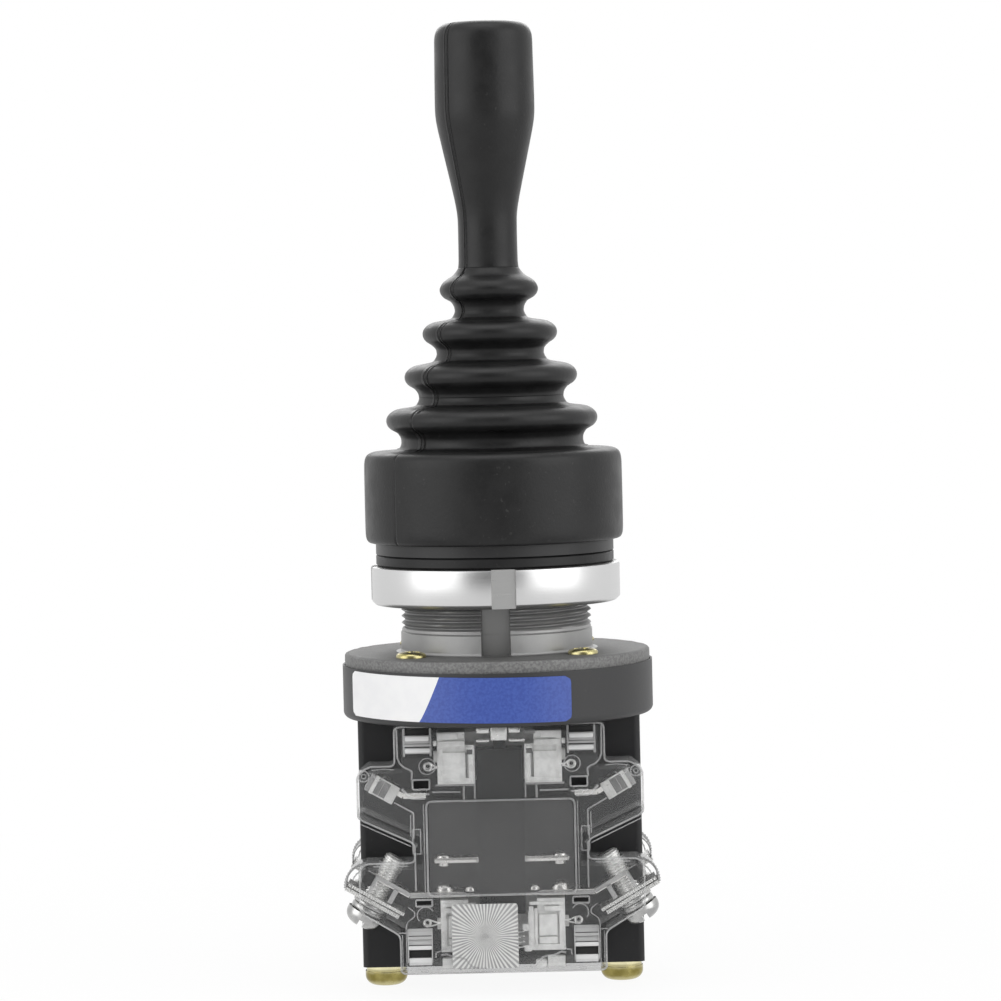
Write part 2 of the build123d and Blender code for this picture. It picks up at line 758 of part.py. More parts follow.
# Planes of the terminal wings on the right of the front cover: local x along the wing, local z
# down and outward along the terminal screw
wing = math.radians(terminal_angle)
cover_middle_y = -(frame_depth / 2 + (cover_room_y - frame_depth / 2) / 2)
lower_strip_height = front_bridge_height - contact_gap - 3 * rivet_height - strip_thickness
upper_wing_plane = Plane(
    origin=(upper_terminal_bend, cover_middle_y, upper_strip_height + strip_thickness / 2),
    x_dir=(math.cos(wing), 0, math.sin(wing)),
    z_dir=(math.sin(wing), 0, -math.cos(wing)),
)
lower_wing_plane = Plane(
    origin=(lower_terminal_bend, cover_middle_y, lower_strip_height + strip_thickness / 2),
    x_dir=(math.cos(wing), 0, math.sin(wing)),
    z_dir=(math.sin(wing), 0, -math.cos(wing)),
)


def on_wing(plane, along, out):
    """A plane parallel to a wing plane, shifted along the wing and along its screw."""
    origin = plane.origin + plane.x_dir * along + plane.z_dir * out
    return Plane(origin=origin, x_dir=plane.x_dir, z_dir=plane.z_dir)


screw_plane = on_wing(lower_wing_plane, terminal_screw_along, 0)
edge_out = clamp_distance + strip_thickness + terminal_washer_thickness


def cover_outline():
    """Outline of a contact cover, seen from the front."""
    right = [
        (cover_top_half, frame_height),
        (cover_top_half, frame_height - upper_wing_drop),
        (cover_wing_half - 1.6, frame_height - upper_wing_drop),
        (cover_wing_half, frame_height - upper_wing_shoulder_drop),
        (cover_wing_half, frame_height - upper_wing_tip_drop),
        (cover_middle_half, frame_height - upper_wing_root_drop),
        (cover_middle_half, lower_wing_top),
        (cover_wing_half - 1.0, lower_wing_top),
        (cover_wing_half, lower_wing_top - 1.0),
        (cover_wing_half, lower_wing_tip),
        (cover_bottom_half, lower_wing_root),
        (cover_bottom_half, 0.0),
    ]
    left = [(-x, height) for x, height in reversed(right)]
    lifted = [(x, height + frame_bottom) for x, height in right + left]
    Polygon(*lifted, align=None)


# Way of a terminal screw through the wing: a hole for its tip and a mouth for its head and plate
with BuildPart() as screw_way:
    with BuildSketch(on_wing(screw_plane, 0, -2 * terminal_screw_tip)):
        Circle(terminal_screw_radius + free_gap)
    extrude(amount=2 * terminal_screw_tip)
    with BuildSketch(on_wing(screw_plane, 0, clamp_distance)):
        Rectangle(clamp_size + 2 * free_gap, 2 * (terminal_head_radius + free_gap))
    extrude(amount=edge_out + terminal_head_height)

# Clear contact cover: a deep shell, open to the frame, with windows, latch pockets and the
# mouths of the four terminals
front_face = Plane.XZ.offset(cover_front_y)
with BuildPart() as cover_front:
    with BuildSketch(Plane.XZ.offset(frame_depth / 2)):
        cover_outline()
    extrude(amount=cover_depth)
    fillet(cover_front.edges().filter_by(Axis.Y), radius=cover_corner_round)
    with BuildSketch(Plane.XZ.offset(frame_depth / 2)):
        cover_outline()
        offset(amount=-cover_wall, kind=Kind.INTERSECTION, mode=Mode.REPLACE)
    extrude(amount=cover_depth - cover_wall, mode=Mode.SUBTRACT)
    # seat of the middle panel
    with BuildSketch(front_face):
        with Locations((0, frame_bottom + panel_centre)):
            RectangleRounded(panel_width + 2 * seat_gap, panel_height + 2 * seat_gap, panel_round)
    extrude(amount=-cover_wall, mode=Mode.SUBTRACT)
    # latch pockets and their slots
    latch_spots = (
        (upper_latch_x, frame_top - upper_latch_drop),
        (-upper_latch_x, frame_top - upper_latch_drop),
        (lower_latch_x, frame_bottom + lower_latch_height),
        (-lower_latch_x, frame_bottom + lower_latch_height),
    )
    with BuildSketch(front_face):
        with Locations(*latch_spots):
            Rectangle(latch_width, latch_height)
    extrude(amount=-latch_recess, mode=Mode.SUBTRACT)
    slot_spots = (
        (upper_latch_x, frame_top - upper_latch_drop + latch_slot_rise),
        (-upper_latch_x, frame_top - upper_latch_drop + latch_slot_rise),
        (lower_latch_x, frame_bottom + lower_latch_height - latch_slot_fall),
        (-lower_latch_x, frame_bottom + lower_latch_height - latch_slot_fall),
    )
    with BuildSketch(front_face):
        with Locations(*slot_spots):
            Rectangle(latch_width - 0.6, latch_slot)
    extrude(amount=-cover_wall, mode=Mode.SUBTRACT)
    # small windows
    with BuildSketch(front_face):
        with Locations(
            (small_window_x, frame_top - upper_window_drop),
            (-small_window_x, frame_top - upper_window_drop),
        ):
            Rectangle(small_window_width, upper_window_height)
        with Locations(
            (small_window_x, frame_bottom + lower_window_level),
            (-small_window_x, frame_bottom + lower_window_level),
        ):
            Rectangle(small_window_width, lower_window_height)
    extrude(amount=-cover_wall, mode=Mode.SUBTRACT)
    # slot for the plunger's stem and foot
    foot_inner = plunger_reach - plunger_dome
    stem_outer = front_stem_y + front_stem_depth / 2
    with BuildSketch(Plane.XY.offset(frame_top)):
        with Locations((0, -(foot_inner + stem_outer) / 2)):
            Rectangle(front_stem_width + 2 * free_gap, stem_outer - foot_inner + 2 * free_gap)
    extrude(amount=-cover_wall, mode=Mode.SUBTRACT)
    # wire mouths at the ends of the wings
    mouth_depth = cover_depth - cover_wall
    for side in (1, -1):
        with BuildSketch(Plane.YZ.offset(side * (cover_wing_half - cover_wall))):
            with Locations((-(frame_depth + mouth_depth) / 2, frame_top - upper_wing_tip_drop + 3.2)):
                Rectangle(mouth_depth, 4.6)
            with Locations((-(frame_depth + mouth_depth) / 2, frame_bottom + lower_wing_tip + 2.9)):
                Rectangle(mouth_depth, 5.4)
        extrude(amount=side * 2 * cover_wall, mode=Mode.SUBTRACT)
    add(screw_way.part, mode=Mode.SUBTRACT)
    add(mirror(screw_way.part, about=Plane.YZ, mode=Mode.PRIVATE), mode=Mode.SUBTRACT)
keep(cover_front, "cover_front")
keep(turned(cover_front, 180), "cover_rear")

# Smoked middle panel of each cover
with BuildPart() as centre_panel_front:
    with BuildSketch(front_face):
        with Locations((0, frame_bottom + panel_centre)):
            RectangleRounded(panel_width, panel_height, panel_round)
    extrude(amount=-cover_wall)
keep(centre_panel_front, "centre_panel_front")
keep(turned(centre_panel_front, 180), "centre_panel_rear")

# White contact holders: two posts each, linked behind the slider. A post has a pocket in its
# front, a notch beside the slider and a round nose on its outer side for the contact spring
holder_back = frame_depth / 2 + free_gap
holder_depth = cover_room_y - holder_back - free_gap
with BuildPart() as holders_front:
    for bottom, height in (
        (frame_top - upper_holder_drop - upper_holder_height, upper_holder_height),
        (frame_bottom + lower_holder_bottom, lower_holder_height),
    ):
        with BuildSketch(Plane.XZ.offset(holder_back)):
            with Locations((0, bottom + height / 2)):
                Rectangle(2 * holder_outer, height)
        extrude(amount=holder_web)
        with BuildSketch(Plane.XZ.offset(holder_back)):
            with Locations((0, bottom + height / 2)):
                Rectangle(2 * holder_outer, height)
                Rectangle(2 * holder_inner, height, mode=Mode.SUBTRACT)
        extrude(amount=holder_depth)
        post_width = holder_outer - holder_inner
        post_x = (holder_inner + holder_outer) / 2
        with BuildSketch(Plane.XZ.offset(holder_back + holder_depth)):
            with Locations((post_x, bottom + height / 2), (-post_x, bottom + height / 2)):
                Rectangle(post_width - 2 * holder_rim, height - 2 * holder_rim)
        extrude(amount=-holder_pocket_depth, mode=Mode.SUBTRACT)
        notch_x = holder_inner + holder_notch / 2
        notch_z = bottom + height - holder_notch_height / 2
        with BuildSketch(Plane.XZ.offset(holder_back + holder_web)):
            with Locations((notch_x, notch_z), (-notch_x, notch_z)):
                Rectangle(holder_notch, holder_notch_height)
        extrude(amount=holder_depth, mode=Mode.SUBTRACT)
        with BuildSketch(Plane.YZ.offset(-holder_outer - nose_length)):
            with Locations((cover_middle_y, bottom + height / 2)):
                Circle(nose_radius)
        extrude(amount=nose_length)
        with BuildSketch(Plane.YZ.offset(holder_outer)):
            with Locations((cover_middle_y, bottom + height / 2)):
                Circle(nose_radius)
        extrude(amount=nose_length)
keep(holders_front, "contact_holders_front")
keep(turned(holders_front, 180), "contact_holders_rear")

# Slider of the front cover: body with a room for the bridge behind its front wall, stem and
# domed foot. Its top stays a plunger's throw below the cover's top wall.
slider_back = holder_back + holder_web + free_gap
slider_y = -(slider_back + front_slider_depth / 2)
stem_bottom = frame_top - cover_wall - plunger_throw - free_gap
foot_top = plunger_top - plunger_dome / 2
with BuildPart() as slider_front:
    with BuildSketch(Plane.XY.offset(front_slider_bottom)):
        with Locations((0, slider_y)):
            Rectangle(front_slider_width, front_slider_depth)
    extrude(amount=stem_bottom - front_slider_bottom)
    with BuildSketch(Plane.XY.offset(stem_bottom)):
        with Locations((0, -front_stem_y)):
            Rectangle(front_stem_width, front_stem_depth)
    extrude(amount=foot_top - stem_bottom)
    # foot that reaches in under the rocker's arm
    with BuildSketch(Plane.XY.offset(foot_top - 1.2)):
        with Locations((0, -(plunger_reach - plunger_dome))):
            Rectangle(
                front_stem_width,
                front_stem_y - plunger_reach + plunger_dome,
                align=(Align.CENTER, Align.MAX),
            )
    extrude(amount=1.2)
    with BuildSketch(Plane.YZ.offset(-front_stem_width / 2)):
        with Locations((-plunger_reach, plunger_top - plunger_dome)):
            Circle(plunger_dome)
    extrude(amount=front_stem_width)
    # room for the bridge, open at the back
    with BuildSketch(Plane.XZ.offset(slider_back)):
        with Locations((0, front_bridge_height + 1.2)):
            Rectangle(front_slider_width - 2.4, 3.0)
    extrude(amount=front_slider_depth - front_slider_wall, mode=Mode.SUBTRACT)
    # slot through both flanks for the bridge strip
    with BuildSketch(Plane.YZ.offset(-front_slider_width / 2)):
        with Locations((slider_y, front_bridge_height + strip_thickness / 2)):
            Rectangle(bridge_width + 2 * seat_gap, strip_thickness + 2 * seat_gap)
    extrude(amount=front_slider_width, mode=Mode.SUBTRACT)
    # bore for the return spring
    with BuildSketch(Plane.XY.offset(front_slider_bottom)):
        with Locations((0, slider_y)):
            Circle(return_spring_radius + return_spring_wire + seat_gap)
    extrude(amount=spring_bore_depth, mode=Mode.SUBTRACT)
keep(slider_front, "slider_front")
keep(turned(slider_front, 180), "slider_rear")

# Bridge of the front cover with its two rivets
with BuildPart() as bridge_front:
    with BuildSketch(Plane.XY.offset(front_bridge_height)):
        with Locations((0, slider_y)):
            SlotOverall(front_bridge_length, bridge_width)
    extrude(amount=strip_thickness)
    with BuildSketch(Plane.XY.offset(front_bridge_height)):
        with Locations((front_rivet_x, slider_y), (-front_rivet_x, slider_y)):
            Circle(rivet_radius)
    extrude(amount=-rivet_height)
keep(bridge_front, "bridge_front")
keep(turned(bridge_front, 180), "bridge_rear")

# Slider on the right inside the frame
with BuildPart() as slider_right:
    with BuildSketch(Plane.XY.offset(side_slider_bottom)):
        with Locations((plunger_reach, 0)):
            Rectangle(side_slider_width, side_slider_depth)
    extrude(amount=side_stem_bottom - side_slider_bottom)
    with BuildSketch(Plane.XY.offset(side_stem_bottom)):
        with Locations((plunger_reach, 0)):
            Rectangle(side_stem_width, side_stem_depth)
    extrude(amount=plunger_top - plunger_dome - side_stem_bottom)
    with BuildSketch(Plane.XZ.offset(-side_stem_depth / 2)):
        with Locations((plunger_reach, plunger_top - plunger_dome)):
            Circle(plunger_dome)
    extrude(amount=side_stem_depth)
    with BuildSketch(Plane.YZ.offset(plunger_reach - side_slider_width / 2)):
        with Locations((0, side_bridge_height + 0.6)):
            Rectangle(side_slider_depth - 2.4, 3.0)
    extrude(amount=side_slider_width, mode=Mode.SUBTRACT)
    with BuildSketch(Plane.XZ.offset(-side_slider_depth / 2)):
        with Locations((plunger_reach, side_bridge_height + strip_thickness / 2)):
            Rectangle(bridge_width + 2 * seat_gap, strip_thickness + 2 * seat_gap)
    extrude(amount=side_slider_depth, mode=Mode.SUBTRACT)
    with BuildSketch(Plane.XY.offset(side_slider_bottom)):
        with Locations((plunger_reach, 0)):
            Circle(return_spring_radius + return_spring_wire / 2 + seat_gap)
    extrude(amount=spring_bore_depth, mode=Mode.SUBTRACT)
keep(slider_right, "slider_right")
keep(turned(slider_right, 180), "slider_left")

# Bridge on the right, along Y, with its two rivets
with BuildPart() as bridge_right:
    with BuildSketch(Plane.XY.offset(side_bridge_height)):
        with Locations((plunger_reach, 0)):
            SlotOverall(side_bridge_length, bridge_width, rotation=90)
    extrude(amount=strip_thickness)
    with BuildSketch(Plane.XY.offset(side_bridge_height)):
        with Locations((plunger_reach, side_rivet_y), (plunger_reach, -side_rivet_y)):
            Circle(rivet_radius)
    extrude(amount=-rivet_height)
keep(bridge_right, "bridge_right")
keep(turned(bridge_right, 180), "bridge_left")

# Return springs under the sliders
front_spring = coil(
    return_spring_radius,
    return_spring_wire,
    frame_bottom + cover_wall,
    front_slider_bottom + spring_bore_depth,
    return_spring_turns,
    (0, slider_y),
)
keep(front_spring, "return_spring_front")
keep(turned(front_spring, 180), "return_spring_rear")
side_spring = coil(
    return_spring_radius,
    return_spring_wire,
    frame_bottom + frame_floor,
    side_slider_bottom + spring_bore_depth,
    return_spring_turns,
    (plunger_reach, 0),
)
keep(side_spring, "return_spring_right")
keep(turned(side_spring, 180), "return_spring_left")

# Section plane of the box cage: local x down and outward, local z along the wing
cage_start = upper_terminal_length - cage_length
cage_origin = on_wing(upper_wing_plane, cage_start, -strip_thickness / 2 - cage_wall).origin
cage_plane = Plane(origin=cage_origin, x_dir=upper_wing_plane.z_dir, z_dir=upper_wing_plane.x_dir)

# Upper terminal, front right: a strip bent up along the wing, a box cage and a tongue that
# reaches through the frame to the side bridge
with BuildPart() as upper_terminal:
    with BuildSketch(Plane.XY.offset(upper_strip_height)):
        with Locations((tongue_x, cover_middle_y)):
            Rectangle(tongue_width, terminal_width)
        with Locations((tongue_x, -tongue_inner)):
            Rectangle(
                tongue_width,
                -cover_middle_y - tongue_inner,
                align=(Align.CENTER, Align.MAX),
            )
    extrude(amount=strip_thickness)
    with BuildSketch(on_wing(upper_wing_plane, 0, -strip_thickness / 2)):
        Rectangle(upper_terminal_length, terminal_width, align=(Align.MIN, Align.CENTER))
    extrude(amount=strip_thickness)
    # box cage round the strip, open at both ends for the wire
    with BuildSketch(cage_plane):
        Rectangle(cage_height, terminal_width + 2 * cage_wall, align=(Align.MIN, Align.CENTER))
        with Locations((cage_wall, 0)):
            Rectangle(
                cage_height - 2 * cage_wall,
                terminal_width,
                align=(Align.MIN, Align.CENTER),
                mode=Mode.SUBTRACT,
            )
    extrude(amount=cage_length)
    with BuildSketch(Plane.XY.offset(upper_strip_height + strip_thickness)):
        with Locations((plunger_reach, -side_rivet_y)):
            Circle(0.9)
    extrude(amount=rivet_height)
keep(upper_terminal, "upper_terminal_front_right")
keep(turned(upper_terminal, 180), "upper_terminal_rear_left")
upper_terminal_left = mirrored(upper_terminal, Plane.YZ)
keep(upper_terminal_left, "upper_terminal_front_left")
keep(turned(upper_terminal_left, 180), "upper_terminal_rear_right")

# Lower terminal, front right: fixed contact strip, bent up along the wing
with BuildPart() as lower_terminal:
    with BuildSketch(Plane.XY.offset(lower_strip_height)):
        with Locations(((front_strip_inner + lower_terminal_bend) / 2, cover_middle_y)):
            Rectangle(lower_terminal_bend - front_strip_inner, terminal_width)
    extrude(amount=strip_thickness)
    with BuildSketch(on_wing(lower_wing_plane, 0, -strip_thickness / 2)):
        Rectangle(lower_terminal_length, terminal_width, align=(Align.MIN, Align.CENTER))
        with Locations((terminal_screw_along, 0)):
            Circle(terminal_screw_radius + press_seat, mode=Mode.SUBTRACT)
    extrude(amount=strip_thickness)
    with BuildSketch(Plane.XY.offset(lower_strip_height + strip_thickness)):
        with Locations((front_rivet_x, slider_y)):
            Circle(rivet_radius)
    extrude(amount=2 * rivet_height)
keep(lower_terminal, "lower_terminal_front_right")
keep(turned(lower_terminal, 180), "lower_terminal_rear_left")
lower_terminal_left = mirrored(lower_terminal, Plane.YZ)
keep(lower_terminal_left, "lower_terminal_front_left")
keep(turned(lower_terminal_left, 180), "lower_terminal_rear_right")

# Terminal screw, front right, with its washers and clamp plate
with BuildPart() as terminal_screw:
    with BuildSketch(on_wing(screw_plane, 0, -terminal_screw_tip)):
        Circle(terminal_screw_radius)
    extrude(amount=terminal_screw_tip + edge_out)
    with BuildSketch(on_wing(screw_plane, 0, edge_out)):
        Circle(terminal_head_radius)
    extrude(amount=terminal_head_height)
    screw_axis = Axis(screw_plane.origin, screw_plane.z_dir)
    fillet(terminal_screw.faces().sort_by(screw_axis)[-1].edges(), radius=terminal_head_round)
    with BuildSketch(on_wing(screw_plane, 0, edge_out + terminal_head_height)):
        Rectangle(terminal_slot_width, 2 * terminal_head_radius)
    extrude(amount=-terminal_slot_depth, mode=Mode.SUBTRACT)
    with BuildSketch(on_wing(screw_plane, 0, clamp_distance + strip_thickness)):
        Circle(terminal_washer_radius)
        Circle(terminal_screw_radius + press_seat, mode=Mode.SUBTRACT)
    extrude(amount=terminal_washer_thickness)
    with BuildSketch(on_wing(screw_plane, 0, clamp_distance)):
        Rectangle(clamp_size, clamp_size)
        Circle(terminal_screw_radius + press_seat, mode=Mode.SUBTRACT)
    extrude(amount=strip_thickness)
keep(terminal_screw, "terminal_screw_front_right")
keep(turned(terminal_screw, 180), "terminal_screw_rear_left")
terminal_screw_left = mirrored(terminal_screw, Plane.YZ)
keep(terminal_screw_left, "terminal_screw_front_left")
keep(turned(terminal_screw_left, 180), "terminal_screw_rear_right")
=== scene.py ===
# %% [markdown]
# # A panel joystick, dressed for the camera
# The solids of the joystick come in as a fixed frame, one object for each real part. This lesson
# gives each of them a finish, and replaces the parts whose real shape needs a finer mesh than a
# solid model carries: the rubber boot, the springs, the cast bushing with its screws, the ring
# nut and the terminal screws.

import math

import bmesh
import bpy
from mathutils import Matrix, Vector, noise


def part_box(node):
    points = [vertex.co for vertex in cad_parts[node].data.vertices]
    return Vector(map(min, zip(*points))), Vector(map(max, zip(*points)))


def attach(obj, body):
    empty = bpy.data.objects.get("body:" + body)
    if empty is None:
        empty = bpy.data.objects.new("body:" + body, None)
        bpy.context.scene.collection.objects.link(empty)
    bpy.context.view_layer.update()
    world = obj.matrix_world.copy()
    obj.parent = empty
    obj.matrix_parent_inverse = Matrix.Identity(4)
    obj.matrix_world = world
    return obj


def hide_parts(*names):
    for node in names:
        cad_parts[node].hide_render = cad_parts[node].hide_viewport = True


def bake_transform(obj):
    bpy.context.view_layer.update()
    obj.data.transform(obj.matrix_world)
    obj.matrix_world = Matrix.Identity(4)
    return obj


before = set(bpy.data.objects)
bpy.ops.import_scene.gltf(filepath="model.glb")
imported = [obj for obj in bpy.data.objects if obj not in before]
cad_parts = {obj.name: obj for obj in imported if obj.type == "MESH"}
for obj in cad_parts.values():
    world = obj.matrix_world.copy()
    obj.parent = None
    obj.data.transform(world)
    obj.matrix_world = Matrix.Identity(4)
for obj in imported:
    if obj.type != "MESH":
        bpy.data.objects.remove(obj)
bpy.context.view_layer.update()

MM = 0.001

# %% [markdown]
# ## The camera
# The joystick stands upright and is seen from the front, a little above its middle, with a long
# lens. A long lens keeps the round parts from bulging. The camera looks slightly down, and it is
# turned by about one degree because the object leans by that much in the picture.

# %% Place the camera
camera_data = bpy.data.cameras.new("studio_camera")
camera_data.sensor_width = 36.0
camera_data.lens = 143.9
camera_data.clip_start = 0.05
camera_data.clip_end = 20.0
camera = bpy.data.objects.new("studio_camera", camera_data)
bpy.context.scene.collection.objects.link(camera)
look_down = math.radians(2.51)
lean = math.radians(-1.31)
camera.matrix_world = (
    Matrix.Translation((0.00108, -0.631, 0.10295))
    @ Matrix.Rotation(math.radians(90) - look_down, 4, "X")
    @ Matrix.Rotation(lean, 4, "Z")
)
bpy.context.scene.camera = camera
bpy.context.scene.view_settings.view_transform = "Standard"
print("camera", camera.matrix_world.translation)

# %% [markdown]
# ## Light and background
# A product shot like this one is made in a white tent with two large lamps at the sides and
# weaker ones above and behind. The white that the camera and the shiny metal see is only the
# colour of the tent, set with Light Path, and the light that falls on the object is kept at a
# plain level, so that each colour comes out about as it is written.

# %% Light the studio
world = bpy.data.worlds.new("white_tent")
bpy.context.scene.world = world
world.use_nodes = True
tent = world.node_tree
tent.nodes.clear()
ray = tent.nodes.new("ShaderNodeLightPath")
seen = tent.nodes.new("ShaderNodeMath")
seen.operation = "MAXIMUM"
seen_all = tent.nodes.new("ShaderNodeMath")
seen_all.operation = "MAXIMUM"
tent.links.new(ray.outputs["Is Camera Ray"], seen.inputs[0])
tent.links.new(ray.outputs["Is Glossy Ray"], seen.inputs[1])
tent.links.new(seen.outputs[0], seen_all.inputs[0])
tent.links.new(ray.outputs["Is Transmission Ray"], seen_all.inputs[1])
direction = tent.nodes.new("ShaderNodeTexCoord")
towards = tent.nodes.new("ShaderNodeSeparateXYZ")
tent.links.new(direction.outputs["Generated"], towards.inputs[0])
front = tent.nodes.new("ShaderNodeMapRange")
front.interpolation_type = "SMOOTHSTEP"
front.inputs["From Min"].default_value = -0.55
front.inputs["From Max"].default_value = -0.97
tent.links.new(towards.outputs["Y"], front.inputs["Value"])
opening = tent.nodes.new("ShaderNodeMath")
opening.operation = "MULTIPLY"
tent.links.new(front.outputs["Result"], opening.inputs[0])
tent.links.new(ray.outputs["Is Glossy Ray"], opening.inputs[1])
tent_colour = tent.nodes.new("ShaderNodeMix")
tent_colour.data_type = "RGBA"
tent_colour.inputs[6].default_value = (1, 1, 1, 1)
tent_colour.inputs[7].default_value = (0.22, 0.22, 0.22, 1)
tent.links.new(opening.outputs[0], tent_colour.inputs["Factor"])
fill = tent.nodes.new("ShaderNodeBackground")
fill.inputs["Color"].default_value = (1, 1, 1, 1)
fill.inputs["Strength"].default_value = 0.45
white = tent.nodes.new("ShaderNodeBackground")
tent.links.new(tent_colour.outputs[2], white.inputs["Color"])
white.inputs["Strength"].default_value = 1.0
choose = tent.nodes.new("ShaderNodeMixShader")
tent.links.new(seen_all.outputs[0], choose.inputs["Fac"])
tent.links.new(fill.outputs[0], choose.inputs[1])
tent.links.new(white.outputs[0], choose.inputs[2])
tent_out = tent.nodes.new("ShaderNodeOutputWorld")
tent.links.new(choose.outputs[0], tent_out.inputs["Surface"])


def soft_lamp(name, place, aim, width, height, watts):
    """A rectangular soft lamp that points at one spot."""
    data = bpy.data.lights.new(name, "AREA")
    data.shape = "RECTANGLE"
    data.size = width
    data.size_y = height
    data.energy = watts
    lamp = bpy.data.objects.new(name, data)
    bpy.context.scene.collection.objects.link(lamp)
    lamp.location = place
    lamp.rotation_euler = (Vector(aim) - Vector(place)).to_track_quat("-Z", "Y").to_euler()
    return lamp


soft_lamp("lamp_left", (-0.66, -0.44, 0.2), (0, 0, 0.08), 0.75, 1.0, 3.5)
soft_lamp("lamp_right", (0.66, -0.44, 0.2), (0, 0, 0.08), 0.75, 1.0, 3.8)
soft_lamp("lamp_top", (0.0, -0.15, 0.62), (0, 0, 0.05), 0.5, 0.4, 0.95)
soft_lamp("lamp_back", (0.0, 0.6, 0.45), (0, 0, 0.08), 0.6, 0.4, 1.6)

# %% [markdown]
# ## Helpers for meshes
# Sizes are written in millimetres here, as a maker thinks of them, and turned into metres when
# the mesh is made. Three shapes cover most pieces: a turned piece, made by taking a profile
# round the centre line, a block with rounded edges, and a wire, made by taking a circle along a
# path.


# %% Make a mesh piece
def make_piece(name, points, faces, finish, body, slot, smooth=True):
    """A mesh from points in millimetres, with its finish, riding on one body."""
    mesh = bpy.data.meshes.new(name)
    mesh.from_pydata([[c * MM for c in p] for p in points], [], faces)
    mesh.validate()
    mesh.update()
    clean = bmesh.new()
    clean.from_mesh(mesh)
    bmesh.ops.recalc_face_normals(clean, faces=clean.faces)
    if clean.calc_volume(signed=True) < 0:
        bmesh.ops.reverse_faces(clean, faces=clean.faces)
    clean.to_mesh(mesh)
    clean.free()
    for face in mesh.polygons:
        face.use_smooth = smooth
    piece = bpy.data.objects.new(name, mesh)
    bpy.context.scene.collection.objects.link(piece)
    mesh.materials.append(finish)
    if body:
        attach(piece, body)
    return piece


print("one unit of a piece is", MM, "m")

# %% [markdown]
# ## Turned pieces and blocks
# A turned piece is a grid: one column of points for each angle, one row for each point of its
# profile. A function may change the radius on the way, which gives threads, keyways and notches.


# %% Turn profiles and round blocks
def smooth_line(points, parts=4):
    """Points on a smooth curve that passes through the given ones."""
    line = []
    count = len(points)
    for i in range(count - 1):
        p0 = points[max(i - 1, 0)]
        p1, p2 = points[i], points[i + 1]
        p3 = points[min(i + 2, count - 1)]
        for step in range(parts):
            t = step / parts
            line.append(tuple(
                0.5 * (2 * b + (c - a) * t + (2 * a - 5 * b + 4 * c - d) * t * t
                       + (3 * b - a - 3 * c + d) * t ** 3)
                for a, b, c, d in zip(p0, p1, p2, p3)
            ))
    line.append(tuple(points[-1]))
    return line


def turn(profile, angles, closed=True, reach=None):
    """Points and faces of a profile taken round the centre line.
    reach(radius, height, angle) may change the radius and the angle at a point."""
    points = []
    for angle in angles:
        for radius, height in profile:
            r, a = reach(radius, height, angle) if reach else (radius, angle)
            points.append((r * math.cos(a), r * math.sin(a), height))
    rows = len(profile)
    columns = len(angles)
    faces = []
    for c in range(columns):
        n = (c + 1) % columns
        for r in range(rows if closed else rows - 1):
            s = (r + 1) % rows
            faces.append((c * rows + r, n * rows + r, n * rows + s, c * rows + s))
    return points, faces


def full_circle(count):
    """Evenly spaced angles."""
    return [2 * math.pi * i / count for i in range(count)]


def rounded_block(low, high, edge=0.12):
    """Points and faces of a block with rounded edges between two corners."""
    (x0, y0, z0), (x1, y1, z1) = low, high
    edge = min(edge, (x1 - x0) / 2.1, (y1 - y0) / 2.1, (z1 - z0) / 2.1)
    near_end = edge * 0.3
    stations = (
        (x0, edge), (x0 + near_end, near_end), (x0 + edge, 0.0),
        (x1 - edge, 0.0), (x1 - near_end, near_end), (x1, edge),
    )
    corner_arcs = (
        (y1 - edge, z1 - edge, 0), (y0 + edge, z1 - edge, 90),
        (y0 + edge, z0 + edge, 180), (y1 - edge, z0 + edge, 270),
    )
    points = []
    for x, inset in stations:
        for cy, cz, start in corner_arcs:
            for step in (0, 45, 90):
                a = math.radians(start + step)
                r = edge - inset * 0.98
                points.append((x, cy + r * math.cos(a), cz + r * math.sin(a)))
    faces = []
    for ring in range(5):
        for k in range(12):
            n = (k + 1) % 12
            faces.append((ring * 12 + k, ring * 12 + n, ring * 12 + 12 + n, ring * 12 + 12 + k))
    faces += [tuple(range(12)), tuple(range(60, 72))]
    return points, faces


def lathe_rod(profile, count=32, reach=None):
    """Points and faces of a piece turned about z from radius and height pairs, closed at both ends."""
    points, faces = turn(profile, full_circle(count), closed=False, reach=reach)
    rows = len(profile)
    faces.append(tuple(c * rows for c in range(count)))
    faces.append(tuple(c * rows + rows - 1 for c in range(count)))
    return points, faces


print("faces of a rounded block:", len(rounded_block((0, 0, 0), (1, 1, 1))[1]))

# %% [markdown]
# ## Wires, and copies in the four corners
# The covers carry the same small pieces at their right and left, front and rear. So a piece is
# described once, for the right of the front cover, and mirrored to the other corners.


# %% Draw wires and copy pieces
def wire(path, radius, sides=8):
    """Points and faces of a round wire along a path."""
    points = []
    faces = []
    count = len(path)
    spots = [Vector(p) for p in path]
    side = None
    for i, spot in enumerate(spots):
        ahead = (spots[min(i + 1, count - 1)] - spots[max(i - 1, 0)]).normalized()
        if side is None:
            side = ahead.orthogonal().normalized()
        side = (side - ahead * side.dot(ahead)).normalized()
        up = ahead.cross(side)
        for k in range(sides):
            a = 2 * math.pi * k / sides
            points.append(tuple(spot + (side * math.cos(a) + up * math.sin(a)) * radius))
    for i in range(count - 1):
        for k in range(sides):
            n = (k + 1) % sides
            faces.append((i * sides + k, i * sides + n, (i + 1) * sides + n, (i + 1) * sides + k))
    faces += [tuple(range(sides)), tuple(range((count - 1) * sides, count * sides))]
    return points, faces


def gather(*shapes):
    """Several shapes as one list of points and faces."""
    points = []
    faces = []
    for more_points, more_faces in shapes:
        first = len(points)
        points += more_points
        faces += [tuple(first + i for i in face) for face in more_faces]
    return points, faces


def moved(shape, place):
    """A shape whose points are put through a function of x, y and z."""
    return [tuple(place(*p)) for p in shape[0]], shape[1]


